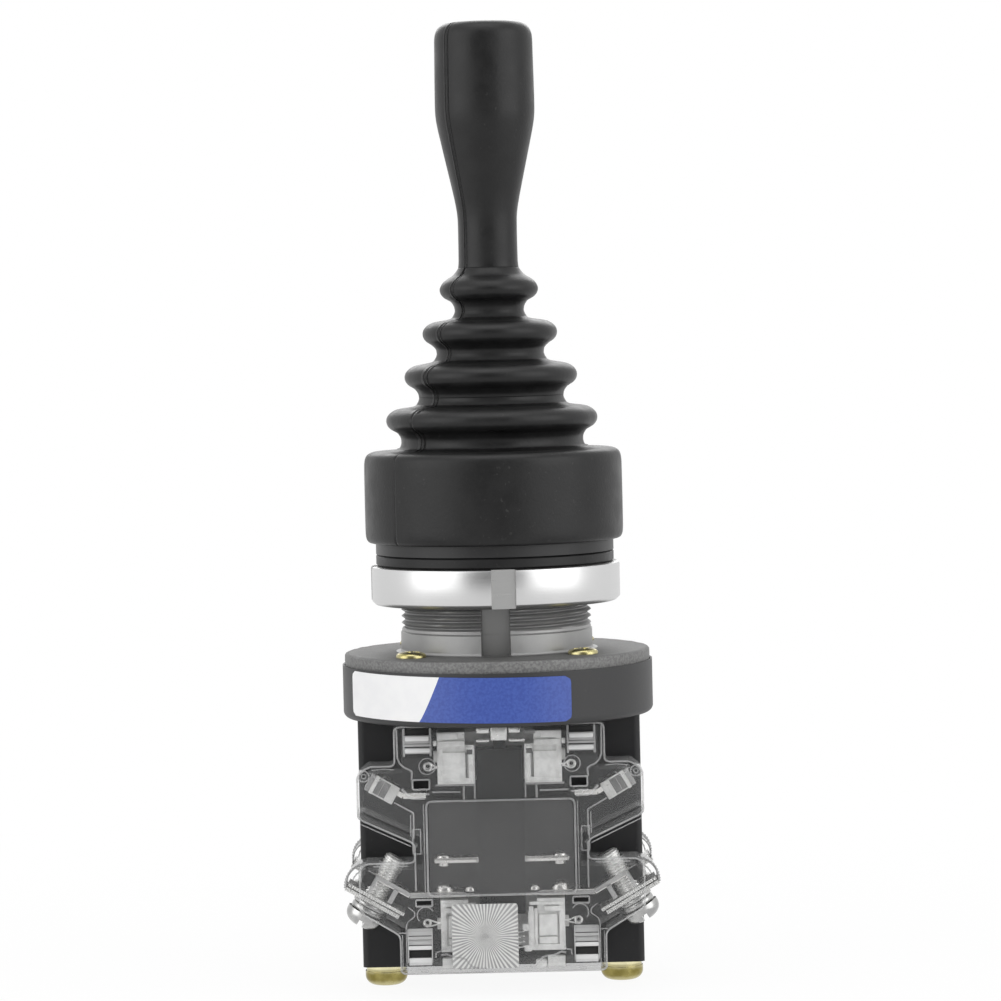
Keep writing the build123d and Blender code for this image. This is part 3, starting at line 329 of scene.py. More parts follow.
corners = {"front_right": (1, 1), "front_left": (-1, 1), "rear_left": (-1, -1), "rear_right": (1, -1)}


def four_corners(name, shape, finish, slot, body="base", at=None):
    """The same small piece at the right and left of the front cover and of the rear one."""
    made = {}
    for corner, (turn_x, turn_y) in corners.items():
        if at and corner not in at:
            continue
        points = [(turn_x * x, turn_y * y, z) for x, y, z in shape[0]]
        rides = body.replace("SIDE", corner.split("_")[0])
        made[corner] = make_piece(f"{name}_{corner}", points, shape[1], finish, rides, slot)
        made[corner].data.set_sharp_from_angle(angle=math.radians(40))
    return made


print("helpers ready for", len(corners), "corners")

# %% [markdown]
# ## Shared surface effects
# Real finishes are never one flat colour. Three effects come back on many parts, so each is a
# node group that is built once: moulded grain with slow colour drift, the fine rings that a
# lathe leaves, and a little dust. Short helpers come first, because a tree of nodes is easier to
# read as a line of sums than as a list of links.


# %% Write short helpers for nodes
def start_group(name, inputs, outputs):
    """An empty shader node group with its named sockets."""
    group = bpy.data.node_groups.new(name, "ShaderNodeTree")
    for label, kind, value in inputs:
        socket = group.interface.new_socket(label, in_out="INPUT", socket_type=kind)
        if value is not None:
            socket.default_value = value
    for label, kind in outputs:
        group.interface.new_socket(label, in_out="OUTPUT", socket_type=kind)
    return group, group.nodes.new("NodeGroupInput"), group.nodes.new("NodeGroupOutput")


def join(tree, out_socket, in_socket):
    """One link between two sockets."""
    tree.links.new(out_socket, in_socket)


def maths(tree, kind, first, second=None):
    """A Math node whose inputs are sockets or numbers."""
    node = tree.nodes.new("ShaderNodeMath")
    node.operation = kind
    for slot_number, value in enumerate((first, second)):
        if value is None:
            continue
        if isinstance(value, (int, float)):
            node.inputs[slot_number].default_value = value
        else:
            join(tree, value, node.inputs[slot_number])
    return node.outputs[0]


def speckle(tree, place, scale, detail=3.0, rough=0.55):
    """A noise texture's value at some scale."""
    node = tree.nodes.new("ShaderNodeTexNoise")
    node.inputs["Detail"].default_value = detail
    node.inputs["Roughness"].default_value = rough
    join(tree, place, node.inputs["Vector"])
    if isinstance(scale, (int, float)):
        node.inputs["Scale"].default_value = scale
    else:
        join(tree, scale, node.inputs["Scale"])
    return node.outputs["Fac"]


def between(tree, amount, first, second):
    """A colour mix whose inputs are sockets."""
    node = tree.nodes.new("ShaderNodeMix")
    node.data_type = "RGBA"
    join(tree, amount, node.inputs["Factor"])
    join(tree, first, node.inputs[6])
    join(tree, second, node.inputs[7])
    return node.outputs[2]


def plain_colour(tree, colour):
    """One colour, as a socket."""
    node = tree.nodes.new("ShaderNodeRGB")
    node.outputs[0].default_value = (*colour, 1)
    return node.outputs[0]


def axes_of(tree, place):
    """The x, y and z of a place, as sockets."""
    node = tree.nodes.new("ShaderNodeSeparateXYZ")
    join(tree, place, node.inputs[0])
    return node.outputs


def from_axis(tree, axes):
    """How far a place is from the upright centre line."""
    squares = [maths(tree, "MULTIPLY", axes[name], axes[name]) for name in ("X", "Y")]
    return maths(tree, "SQRT", maths(tree, "ADD", *squares))


def ramp(tree, value, low, high):
    """A value stretched so that low becomes 0 and high becomes 1."""
    node = tree.nodes.new("ShaderNodeMapRange")
    node.interpolation_type = "SMOOTHSTEP"
    node.inputs["From Min"].default_value = low
    node.inputs["From Max"].default_value = high
    join(tree, value, node.inputs["Value"])
    return node.outputs["Result"]


print("node helpers ready")

# %% [markdown]
# ## The three effect groups
# Each group has named inputs, so that every finish can use it with numbers of its own, and it
# puts out only colours and values that change over the surface. The grain group mixes a slow
# drift with a fine speckle. The ring group looks up its noise by the distance from the centre
# line and by the height, so the same value goes all the way round, as a lathe leaves it. Dust
# lies where fine specks and large patches meet.

# %% Build the effect groups
grain_group, came, went = start_group(
    "moulded_grain",
    [("Place", "NodeSocketVector", None), ("Colour", "NodeSocketColor", (0.5, 0.5, 0.5, 1)),
     ("Drift colour", "NodeSocketColor", (0.6, 0.6, 0.6, 1)), ("Drift scale", "NodeSocketFloat", 60.0),
     ("Grain scale", "NodeSocketFloat", 2500.0), ("Rough low", "NodeSocketFloat", 0.4),
     ("Rough high", "NodeSocketFloat", 0.6)],
    [("Colour", "NodeSocketColor"), ("Roughness", "NodeSocketFloat"), ("Height", "NodeSocketFloat")],
)
asked = came.outputs
slow = speckle(grain_group, asked["Place"], asked["Drift scale"])
drift = maths(grain_group, "MULTIPLY", ramp(grain_group, slow, 0.35, 0.65), 0.7)
grain = speckle(grain_group, asked["Place"], asked["Grain scale"], 2.0)
both = maths(grain_group, "ADD", drift, maths(grain_group, "MULTIPLY", grain, 0.3))
join(grain_group, between(grain_group, both, asked["Colour"], asked["Drift colour"]), went.inputs["Colour"])
spread = maths(grain_group, "SUBTRACT", asked["Rough high"], asked["Rough low"])
rough = maths(grain_group, "ADD", asked["Rough low"], maths(grain_group, "MULTIPLY", spread, both))
join(grain_group, rough, went.inputs["Roughness"])
join(grain_group, grain, went.inputs["Height"])

ring_group, came, went = start_group(
    "turning_rings",
    [("Place", "NodeSocketVector", None), ("Rings per metre", "NodeSocketFloat", 6000.0)],
    [("Shade", "NodeSocketFloat"), ("Height", "NodeSocketFloat")],
)
rings = came.outputs["Rings per metre"]
axes = axes_of(ring_group, came.outputs["Place"])
lathe = ring_group.nodes.new("ShaderNodeCombineXYZ")
join(ring_group, maths(ring_group, "MULTIPLY", from_axis(ring_group, axes), rings), lathe.inputs["X"])
join(ring_group, maths(ring_group, "MULTIPLY", axes["Z"], rings), lathe.inputs["Y"])
swirl = speckle(ring_group, lathe.outputs[0], 1.0, 2.0, 0.7)
join(ring_group, swirl, went.inputs["Height"])
join(ring_group, swirl, went.inputs["Shade"])

dust_group, came, went = start_group(
    "light_dust",
    [("Place", "NodeSocketVector", None), ("Amount", "NodeSocketFloat", 0.1)],
    [("Mask", "NodeSocketFloat")],
)
specks = ramp(dust_group, speckle(dust_group, came.outputs["Place"], 1400.0, 1.0), 0.66, 0.8)
patches = ramp(dust_group, speckle(dust_group, came.outputs["Place"], 90.0, 4.0), 0.4, 0.75)
dusty = maths(dust_group, "MULTIPLY", specks, patches)
join(dust_group, maths(dust_group, "MULTIPLY", dusty, came.outputs["Amount"]), went.inputs["Mask"])
print("effects:", [g.name for g in bpy.data.node_groups])

# %% [markdown]
# ## Finishes
# Each finish starts from the same pattern: the grain group gives colour, roughness and a small
# height, and a Bump node turns the height into relief. What makes rubber look like rubber and
# zinc like zinc are the numbers: how dark, how shiny, how coarse.


# %% Make the finishes
dust_colour = (0.5, 0.49, 0.47)


def start_finish(name, colour, drift_colour, rough, drift_scale, grain_scale, bump, metallic=0.0, dust=0.0):
    """A finish with moulded grain, and dust where it is asked for. Returns what later cells add to:
    the material, its tree, its shader, the grain, the relief and the place on the object."""
    finish = bpy.data.materials.new(name)
    finish.use_nodes = True
    tree = finish.node_tree
    shader = tree.nodes["Principled BSDF"]
    shader.inputs["Metallic"].default_value = metallic
    place = tree.nodes.new("ShaderNodeTexCoord").outputs["Object"]
    grain = tree.nodes.new("ShaderNodeGroup")
    grain.node_tree = grain_group
    join(tree, place, grain.inputs["Place"])
    grain.inputs["Colour"].default_value = (*colour, 1)
    grain.inputs["Drift colour"].default_value = (*drift_colour, 1)
    grain.inputs["Drift scale"].default_value = drift_scale
    grain.inputs["Grain scale"].default_value = grain_scale
    grain.inputs["Rough low"].default_value = rough[0]
    grain.inputs["Rough high"].default_value = rough[1]
    colour_out = grain.outputs["Colour"]
    if dust:
        dusty = tree.nodes.new("ShaderNodeGroup")
        dusty.node_tree = dust_group
        join(tree, place, dusty.inputs["Place"])
        dusty.inputs["Amount"].default_value = dust
        colour_out = between(tree, dusty.outputs["Mask"], colour_out, plain_colour(tree, dust_colour))
    join(tree, colour_out, shader.inputs["Base Color"])
    join(tree, grain.outputs["Roughness"], shader.inputs["Roughness"])
    relief = tree.nodes.new("ShaderNodeBump")
    relief.inputs["Strength"].default_value = 1.0
    relief.inputs["Distance"].default_value = bump * MM
    join(tree, grain.outputs["Height"], relief.inputs["Height"])
    join(tree, relief.outputs[0], shader.inputs["Normal"])
    return finish, tree, shader, grain, relief, place


def add_rings(tree, shader, grain, relief, place, rings, amount, bump):
    """Turning rings over a finish: they vary its roughness and add relief."""
    ring = tree.nodes.new("ShaderNodeGroup")
    ring.node_tree = ring_group
    join(tree, place, ring.inputs["Place"])
    ring.inputs["Rings per metre"].default_value = rings
    second = tree.nodes.new("ShaderNodeBump")
    second.inputs["Strength"].default_value = 1.0
    second.inputs["Distance"].default_value = bump * MM
    join(tree, ring.outputs["Height"], second.inputs["Height"])
    join(tree, relief.outputs[0], second.inputs["Normal"])
    join(tree, second.outputs[0], shader.inputs["Normal"])
    roughening = maths(tree, "MULTIPLY", ring.outputs["Shade"], amount)
    join(tree, maths(tree, "ADD", grain.outputs["Roughness"], roughening), shader.inputs["Roughness"])


print("grain, rings and dust ready")

# %% [markdown]
# ## Rubber and mouldings
# The boot, the frame, the base ring, the bezel and the sliders are all nearly black, and differ
# in how dark and how shiny they are. The holders are the one white moulding.

# %% Finish the rubber and the mouldings
rubber, tree, shader, *_ = start_finish(
    "boot_rubber", (0.0065, 0.0065, 0.0067), (0.0105, 0.0105, 0.0107), (0.34, 0.46),
    drift_scale=260, grain_scale=1900, bump=0.022, dust=0.05)
shader.inputs["Specular IOR Level"].default_value = 0.31

frame_black, tree, shader, *_ = start_finish(
    "frame_moulding", (0.012, 0.012, 0.013), (0.016, 0.016, 0.017), (0.42, 0.55),
    drift_scale=80, grain_scale=3000, bump=0.010, dust=0.05)
shader.inputs["Specular IOR Level"].default_value = 0.3

ring_black, *_ = start_finish(
    "base_ring_moulding", (0.021, 0.021, 0.022), (0.028, 0.028, 0.029), (0.45, 0.55),
    drift_scale=50, grain_scale=2800, bump=0.012, dust=0.05)

bezel_black, tree, shader, *_ = start_finish(
    "bezel_moulding", (0.013, 0.013, 0.0135), (0.019, 0.019, 0.0195), (0.36, 0.46),
    drift_scale=70, grain_scale=3000, bump=0.010, dust=0.04)
shader.inputs["Specular IOR Level"].default_value = 0.4

dark_moulding, tree, shader, *_ = start_finish(
    "slider_moulding", (0.006, 0.006, 0.0065), (0.011, 0.011, 0.0115), (0.35, 0.5),
    drift_scale=120, grain_scale=3000, bump=0.004)
shader.inputs["Specular IOR Level"].default_value = 0.12

white_moulding, *_ = start_finish(
    "holder_moulding", (0.97, 0.97, 0.96), (0.76, 0.76, 0.75), (0.3, 0.42),
    drift_scale=750, grain_scale=2200, bump=0.012)

print("rubber and mouldings:", len(bpy.data.materials))

# %% [markdown]
# ## The casting and the threaded neck
# The casting is painted darker on the flange's top: painted shade for the way the light falls there. On the
# neck, painted shade darkens the thread's grooves, and the keyway's floor gets a plain grey of its own. What
# colour a place gets follows from where it lies: how high, how far from the centre line, or how far to the
# front.

# %% Finish the casting and the neck
flange_top = 51.9
cast_metal, tree, shader, grain, _, place = start_finish(
    "flange_casting", (0.11, 0.11, 0.11), (0.24, 0.24, 0.235), (0.5, 0.7),
    drift_scale=2600, grain_scale=1800, bump=0.11, metallic=0.35)
height = axes_of(tree, place)["Z"]
# Painted shade: the flange's top is painted darker than its rim.
painted_top_shade = maths(tree, "MULTIPLY", ramp(tree, height, (flange_top - 0.3) * MM, (flange_top - 0.1) * MM), 0.62)
top_shade_colour = plain_colour(tree, (0.085, 0.085, 0.083))
join(tree, between(tree, painted_top_shade, grain.outputs["Colour"], top_shade_colour), shader.inputs["Base Color"])

neck_metal, tree, shader, grain, relief, place = start_finish(
    "neck_metal", (0.29, 0.29, 0.288), (0.37, 0.37, 0.367), (0.32, 0.42),
    drift_scale=120, grain_scale=2600, bump=0.01, metallic=0.55)
add_rings(tree, shader, grain, relief, place, rings=9000, amount=0.10, bump=0.004)
axes = axes_of(tree, place)
# Painted shade: the thread's grooves, nearest the centre line, are painted darker. The keyway's floor gets a
# plain grey of its own instead.
painted_groove_shade = maths(tree, "MULTIPLY", ramp(tree, from_axis(tree, axes), 14.92 * MM, 14.5 * MM), 0.58)
groove_shade_colour = plain_colour(tree, (0.06, 0.06, 0.06))
groove_shaded = between(tree, painted_groove_shade, grain.outputs["Colour"], groove_shade_colour)
key_across = ramp(tree, maths(tree, "ABSOLUTE", axes["X"]), 2.2 * MM, 2.0 * MM)
in_key = maths(tree, "MULTIPLY", key_across, ramp(tree, axes["Y"], -13.0 * MM, -13.3 * MM))
key_floor_tone = plain_colour(tree, (0.225, 0.225, 0.222))
join(tree, between(tree, in_key, groove_shaded, key_floor_tone), shader.inputs["Base Color"])

print("casting and neck:", cast_metal.name, neck_metal.name)

# %% [markdown]
# ## The nut and the steel parts
# The nut is bright on its turned rim, and duller inside it, on the end faces and in the notches.
# The other metals differ only in brightness, gloss and the fineness of their grain.

# %% Finish the nut, the steel and the silver
nut_metal, tree, shader, grain, relief, place = start_finish(
    "nut_metal", (0.585, 0.585, 0.585), (0.65, 0.65, 0.65), (0.20, 0.26),
    drift_scale=40, grain_scale=4000, bump=0.002, metallic=1.0)
add_rings(tree, shader, grain, relief, place, rings=5000, amount=0.2, bump=0.010)
in_notch = ramp(tree, from_axis(tree, axes_of(tree, place)), 19.3 * MM, 18.95 * MM)
raw = plain_colour(tree, (0.49, 0.49, 0.485))
join(tree, between(tree, in_notch, grain.outputs["Colour"], raw), shader.inputs["Base Color"])

steel, tree, shader, grain, relief, place = start_finish(
    "machined_steel", (0.5, 0.5, 0.51), (0.6, 0.6, 0.61), (0.25, 0.38),
    drift_scale=200, grain_scale=4000, bump=0.003, metallic=1.0)
add_rings(tree, shader, grain, relief, place, rings=8000, amount=0.1, bump=0.004)

spring_wire, *_ = start_finish(
    "spring_wire", (0.45, 0.45, 0.46), (0.58, 0.58, 0.6), (0.2, 0.3),
    drift_scale=500, grain_scale=6000, bump=0.003, metallic=1.0)

nickel, *_ = start_finish(
    "nickelled_steel", (0.78, 0.78, 0.77), (0.88, 0.88, 0.87), (0.2, 0.34),
    drift_scale=400, grain_scale=4500, bump=0.004, metallic=0.7)

contact_silver, *_ = start_finish(
    "contact_silver", (0.72, 0.71, 0.69), (0.82, 0.81, 0.79), (0.18, 0.32),
    drift_scale=300, grain_scale=4500, bump=0.004, metallic=1.0)

print("nut, steel and silver:", len(bpy.data.materials))

# %% [markdown]
# ## The screws
# The screws of the flange and the frame are plated yellow. Round the frame screws' heads, pale bands and a
# pale upper rim are painted highlights: a sine of the height makes the bands and noise bends them. The
# terminal screws' heads and washers take a darker copy of the nickelled steel, as painted shade.

# %% Finish the screws
yellow_zinc, *_ = start_finish(
    "yellow_zinc", (0.34, 0.29, 0.09), (0.52, 0.48, 0.27), (0.18, 0.34),
    drift_scale=420, grain_scale=3500, bump=0.008, metallic=1.0)

zinc_head, tree, shader, grain, _, place = start_finish(
    "zinc_head", (0.20, 0.165, 0.045), (0.36, 0.31, 0.11), (0.16, 0.30),
    drift_scale=420, grain_scale=3500, bump=0.008, metallic=1.0)
height = axes_of(tree, place)["Z"]
unevenness = maths(tree, "MULTIPLY", speckle(tree, place, 500.0, 2.0), 0.9 * MM)
radians_per_metre = 2600.0
bent_height = maths(tree, "ADD", height, unevenness)
highlight_wave = maths(tree, "SINE", maths(tree, "MULTIPLY", bent_height, radians_per_metre))
# Painted highlights: pale bands round the frame screws' heads and a pale upper rim.
painted_highlight_bands = maths(tree, "MULTIPLY", ramp(tree, highlight_wave, -0.6, 1.2), 0.42)
painted_highlight_share = maths(tree, "MAXIMUM", ramp(tree, height, 2.3 * MM, 2.8 * MM), painted_highlight_bands)
highlight_zinc_colour = plain_colour(tree, (0.80, 0.75, 0.48))
join(tree, between(tree, painted_highlight_share, grain.outputs["Colour"], highlight_zinc_colour), shader.inputs["Base Color"])

# Painted shade: the terminal screws' heads and washers take a darker copy of the nickelled steel.
shaded_head_nickel, *_ = start_finish(
    "screw_head_shaded_nickel", (0.34, 0.34, 0.34), (0.52, 0.52, 0.51), (0.18, 0.32),
    drift_scale=380, grain_scale=3500, bump=0.006, metallic=1.0)
print("finishes so far:", len(bpy.data.materials))

# %% [markdown]
# ## Clear plastic
# A clear cover over a black frame shows two things: a thin grey haze where one looks straight through it, and
# pale lines where its edges gather light, painted here as pale plastic. Layer Weight tells how much a face
# turns away from the eye, so it drives the alpha: nearly clear face on, painted pale edge on.


# %% Make the clear plastics
def clear_finish(name, colour, drift_colour, face_on, edge_on, rough):
    """A see-through plastic whose edges are painted pale for the light that they gather."""
    finish, tree, shader, *_ = start_finish(
        name, colour, drift_colour, rough, drift_scale=90, grain_scale=60, bump=0.0002)
    lean_away = tree.nodes.new("ShaderNodeLayerWeight")
    lean_away.inputs["Blend"].default_value = 0.25
    stretch = tree.nodes.new("ShaderNodeMapRange")
    stretch.inputs["From Min"].default_value = 0.0
    stretch.inputs["From Max"].default_value = 0.6
    stretch.inputs["To Min"].default_value = face_on
    stretch.inputs["To Max"].default_value = edge_on
    join(tree, lean_away.outputs["Facing"], stretch.inputs["Value"])
    join(tree, stretch.outputs["Result"], shader.inputs["Alpha"])
    shader.inputs["IOR"].default_value = 1.49
    shader.inputs["Specular IOR Level"].default_value = 0.7
    finish.surface_render_method = "BLENDED"
    return finish


clear_plastic = clear_finish(
    "clear_plastic", (0.55, 0.56, 0.56), (0.66, 0.66, 0.66), face_on=0.058, edge_on=0.52, rough=(0.08, 0.16))
clear_edge = clear_finish(
    "clear_edge", (0.48, 0.48, 0.48), (0.80, 0.80, 0.80), face_on=0.28, edge_on=0.78, rough=(0.1, 0.2))
# Painted shade: the wire guides' clear ribs are painted dark grey.
clear_rib_painted_dark = clear_finish(
    "clear_rib_painted_dark", (0.10, 0.10, 0.10), (0.30, 0.30, 0.30), face_on=0.45, edge_on=0.9, rough=(0.1, 0.2))
smoked_plastic = clear_finish(
    "smoked_plastic", (0.50, 0.50, 0.50), (0.56, 0.56, 0.56), face_on=0.10, edge_on=0.6, rough=(0.06, 0.12))
print("clear finishes:", [f.name for f in (clear_plastic, clear_edge, clear_rib_painted_dark, smoked_plastic)])

# %% [markdown]
# ## Finishes on the solids
# Every solid whose shape is right keeps its mesh and takes one of the finishes. Single parts are
# looked up by their name, and families of like parts by the start of it.

# %% Give each solid its finish
finish_of = {
    "base_ring": ring_black, "bezel_ring": bezel_black, "panel_gasket": rubber,
    "retaining_ring": spring_wire, "pivot_cradle": steel, "gate_plate": steel, "gimbal_ring": steel,
    "gimbal_pins": steel, "pivot_hub": steel, "hub_pins": steel, "lever_rod": steel,
    "rocker_cross": steel, "rocker_nut": steel, "centring_spring": spring_wire,
    "boot_skirt": rubber, "boot_bellows_lower": rubber, "boot_bellows_upper": rubber, "boot_grip": rubber,
    "bushing_flange": cast_metal, "ring_nut": nut_metal,
}
family = [
    ("frame_screw", zinc_head), ("flange_screw", yellow_zinc), ("frame_", frame_black),
    ("cover_", clear_plastic), ("centre_panel", smoked_plastic), ("contact_holders", white_moulding),
    ("slider_", dark_moulding), ("bridge_", contact_silver), ("upper_terminal", contact_silver),
    ("lower_terminal", contact_silver), ("terminal_screw", nickel), ("return_spring", spring_wire),
]
for name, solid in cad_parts.items():
    finish = finish_of.get(name) or next(f for start, f in family if name.startswith(start))
    solid.data.materials.clear()
    solid.data.materials.append(finish)
print("dressed solids:", len(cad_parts))

# %% [markdown]
# ## The rubber boot
# The boot is one moulding on the real joystick: a skirt that snaps over the bezel, four folds
# that let the lever tilt, and a solid grip. Each fold has a gently sloping top, a round crest
# and a tight groove. The profile is drawn as a smooth curve through a few measured points and
# taken round the centre line. Two mould halves leave a parting line, so a few columns of the
# mesh crowd together there and dip. The folds get a thinner wall than real rubber has, so that
# the rod stays inside them at full tilt.

# %% Draw the boot's profile
skirt_top = 83.5
grooves = [(14.35, 1.5), (11.4, 8.3), (8.45, 15.2), (5.45, 21.9)]
crests = [(16.65, 4.55), (13.6, 11.35), (10.6, 18.1), (7.75, 25.0)]
seam_angle = math.radians(-90 - 49)


def fold_side(groove, crest, after):
    """Points from a groove up over the crest to the next groove, by radius and height."""
    r, z = crest
    below = [
        (groove[0], groove[1]), (groove[0] + 0.12, groove[1] + 0.62), (groove[0] + 0.55, z - 1.78),
        (r - 1.15, z - 1.42), (r - 0.62, z - 1.08), (r - 0.18, z - 0.55), (r, z + 0.1),
    ]
    top = [
        (r - 0.12, z + 0.75), (r - 0.52, z + 1.3), (r - 1.15, z + 1.75), (r - 2.0, z + 2.05),
        (after[0] + 0.85, after[1] - 1.35), (after[0] + 0.28, after[1] - 0.85),
        (after[0] + 0.03, after[1] - 0.3),
    ]
    return below + top


foot = [(15.6, 0.0), (14.75, 0.35), (14.42, 0.9)]
lower_points = foot + fold_side(grooves[0], crests[0], grooves[1])
lower_points.append(grooves[1])
upper_points = fold_side(grooves[1], crests[1], grooves[2]) + fold_side(grooves[2], crests[2], grooves[3])
upper_points += fold_side(grooves[3], crests[3], (4.66, 29.0))[:7]
upper_points += [(7.62, 25.65), (7.2, 26.3), (6.5, 26.85), (5.7, 27.35), (5.1, 28.0), (4.78, 28.5)]
grip_points = [
    (4.78, 28.5), (4.69, 29.2), (4.66, 30.2), (4.64, 33.0), (4.66, 36.0), (4.80, 37.6), (5.15, 39.6),
    (5.75, 42.4), (6.45, 45.6), (7.10, 48.6), (7.52, 50.6), (7.76, 52.2), (7.83, 54.0), (7.80, 58.0),
    (7.74, 62.0), (7.70, 64.3), (7.52, 65.4), (7.02, 66.25), (6.2, 66.75), (5.0, 66.93),
    (2.5, 66.99), (0.02, 67.0),
]
print("points in the boot's profile:", len(lower_points) + len(upper_points) + len(grip_points))


def seam_angles(count):
    """Angles round the boot, with a marker for the columns that crowd at the two parting lines."""
    columns = []
    for i in range(count):
        columns.append((seam_angle + 2 * math.pi * (i + 0.5) / count, 0.0, 0.0))
    for side in (0, math.pi):
        for offset, depth in ((-0.42, 0.0), (-0.16, 0.03), (0.0, 0.2), (0.16, 0.03), (0.42, 0.0)):
            columns.append((seam_angle + side, offset, depth))
    columns.sort(key=lambda c: (((c[0] - seam_angle + 0.02) % (2 * math.pi)), c[1]))
    return columns


def inside_of(outer, wall):
    """The profile of a wall's inner side, back down from the end of the outer one."""
    return [(max(r - wall, 0.01), z) for r, z in reversed(outer)]


def boot_piece(name, outer, inner, body, count):
    """A boot part: its outer profile, its inner one, and the two parting lines."""
    profile = smooth_line(outer)
    columns = seam_angles(count)
    rows = [(r, z + skirt_top, 1) for r, z in profile] + [(r, z + skirt_top, 0) for r, z in inner]
    points = []
    for angle, offset, depth in columns:
        for r, z, outside in rows:
            a = angle + offset / max(r, 1.0)
            cut = depth * outside
            points.append(((r - cut) * math.cos(a), (r - cut) * math.sin(a), z))
    n = len(rows)
    faces = []
    for c in range(len(columns)):
        d = (c + 1) % len(columns)
        for r in range(n):
            s = (r + 1) % n
            faces.append((c * n + r, d * n + r, d * n + s, c * n + s))
    return make_piece(name, points, faces, rubber, body, "boot_rubber")


# %% [markdown]
# ## The boot in four pieces
# The skirt stays with the base and the grip rides on the lever. On the real boot the folds between them bend;
# here they are made in two halves, a lower and an upper one, tied to no body.

# %% Make the boot
skirt_outside = [
    (18.75, -14.4), (19.4, -14.38), (19.9, -14.2), (20.2, -13.7), (20.32, -12.8), (20.34, -11.0),
    (20.34, -7.0), (20.32, -3.0), (20.27, -1.8), (20.12, -1.05), (19.75, -0.5), (19.1, -0.16),
    (18.2, -0.04), (16.4, 0.0), (15.6, 0.06), (15.0, 0.35),
]
skirt_inside = [(15.0, -1.3), (16.6, -1.4), (17.7, -1.7), (18.2, -2.4), (18.2, -13.9), (18.35, -14.3)]
lower_wall, upper_wall, grip_wall = 0.13, 0.4, 1.2
skirt = boot_piece("boot_skirt_rubber", skirt_outside, skirt_inside, "base", 120)
lower_bellows = boot_piece("boot_folds_lower", lower_points, inside_of(lower_points, lower_wall), None, 120)
upper_bellows = boot_piece("boot_folds_upper", upper_points, inside_of(upper_points, upper_wall), None, 120)
grip = boot_piece("boot_grip_rubber", grip_points, inside_of(grip_points, grip_wall), "lever", 96)
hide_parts("boot_skirt")
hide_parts("boot_bellows_lower")
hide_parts("boot_bellows_upper")
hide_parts("boot_grip")
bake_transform(lower_bellows)
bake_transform(upper_bellows)
print("boot faces:", [len(o.data.polygons) for o in (skirt, lower_bellows, upper_bellows, grip)])

# %% [markdown]
# ## Springs
# A spring between two moving pieces has to shorten as they close. Each coil is made here as a piece of its
# own in its solid's place, tied to no body. On the real joystick the large centring spring follows both
# tilts, one after the other; here it is cut in two near its top.


# %% Make the springs
def coil_path(radius, low, high, turns, start, stop):
    """Points of a helix between two heights, with flat end turns. start and stop are shares of it."""
    steps = int(turns * 18)
    path = []
    for i in range(steps + 1):
        t = start + (stop - start) * i / steps
        a = 2 * math.pi * turns * t
        climb = min(max((t * turns - 0.7) / (turns - 1.4), 0.0), 1.0)
        path.append((radius * math.cos(a), radius * math.sin(a), low + (high - low) * climb))
    return path


def spring_piece(name, node, radius, thick, turns, start, stop):
    """A coil in a solid's place, between two shares of its height."""
    low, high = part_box(node)
    x, y = 500 * (low[0] + high[0]), 500 * (low[1] + high[1])
    bottom, top = 1000 * low[2] + thick, 1000 * high[2] - thick
    coil = wire(coil_path(radius, bottom, top, turns, start, stop), thick, 10)
    coil = moved(coil, lambda px, py, pz: (px + x, py + y, pz))
    piece = make_piece(name, *coil, spring_wire, None, "spring_steel")
    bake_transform(piece)
    return piece


coil_turns = 7.4
for side in ("front", "rear", "left", "right"):
    coil = spring_piece(
        f"return_coil_{side}", f"return_spring_{side}", radius=1.4, thick=0.25, turns=coil_turns,
        start=0.0, stop=1.0)
    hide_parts(f"return_spring_{side}")
coil_cut = 0.83
low_coil = spring_piece(
    "centring_coil_low", "centring_spring", radius=5.6, thick=0.6, turns=coil_turns,
    start=0.0, stop=coil_cut)
spring_piece(
    "centring_coil_high", "centring_spring", radius=5.6, thick=0.6, turns=coil_turns,
    start=coil_cut, stop=1.0)
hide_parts("centring_spring")
print("springs coiled")

# %% [markdown]
# ## The cast bushing
# The flange and the threaded neck are one zinc casting. The flange keeps the wavy, sandy skin
# of the mould. The neck is cut on a lathe: a fine thread of about one millimetre pitch runs up
# it, broken at the front by a flat keyway. The thread is made as a grid whose radius follows a
# saw-tooth that climbs by one pitch for each turn.

# %% Cut the thread and its keyway
thread_pitch = 1.04
thread_bottom, thread_top = 55.2, 70.0
thread_root, thread_depth = 14.42, 0.6
collar_top, flange_bottom, flange_radius = 55.2, 49.4, 24.05
neck_radius, neck_bore, key_floor = 15.0, 12.0, 13.7
neck_outer_side = 13.0
key_left, key_right = -2.4, 2.15


def keyed(radius, angle):
    """Radius with the keyway's flat floor at the front."""
    if key_left < neck_radius * math.cos(angle) < key_right and math.sin(angle) < 0:
        return min(radius, key_floor / abs(math.sin(angle))), angle
    return radius, angle


def threaded(radius, height, angle):
    """Radius of the screw thread, which climbs with the angle and fades out at both ends."""
    if radius < neck_outer_side:
        return radius, angle
    phase = (height / thread_pitch - (angle + math.pi / 2) / (2 * math.pi)) % 1.0
    tooth = max(0.0, 1.0 - abs(phase - 0.5) / 0.42)
    fade = min(1.0, max(0.0, (height - thread_bottom - 0.25) / 0.4), max(0.0, (thread_top - height) / 0.4))
    run_out = (1 - fade) * 0.5 * (height < thread_bottom + 0.7)
    return keyed(thread_root + thread_depth * (tooth ** 1.15) * fade + run_out, angle)


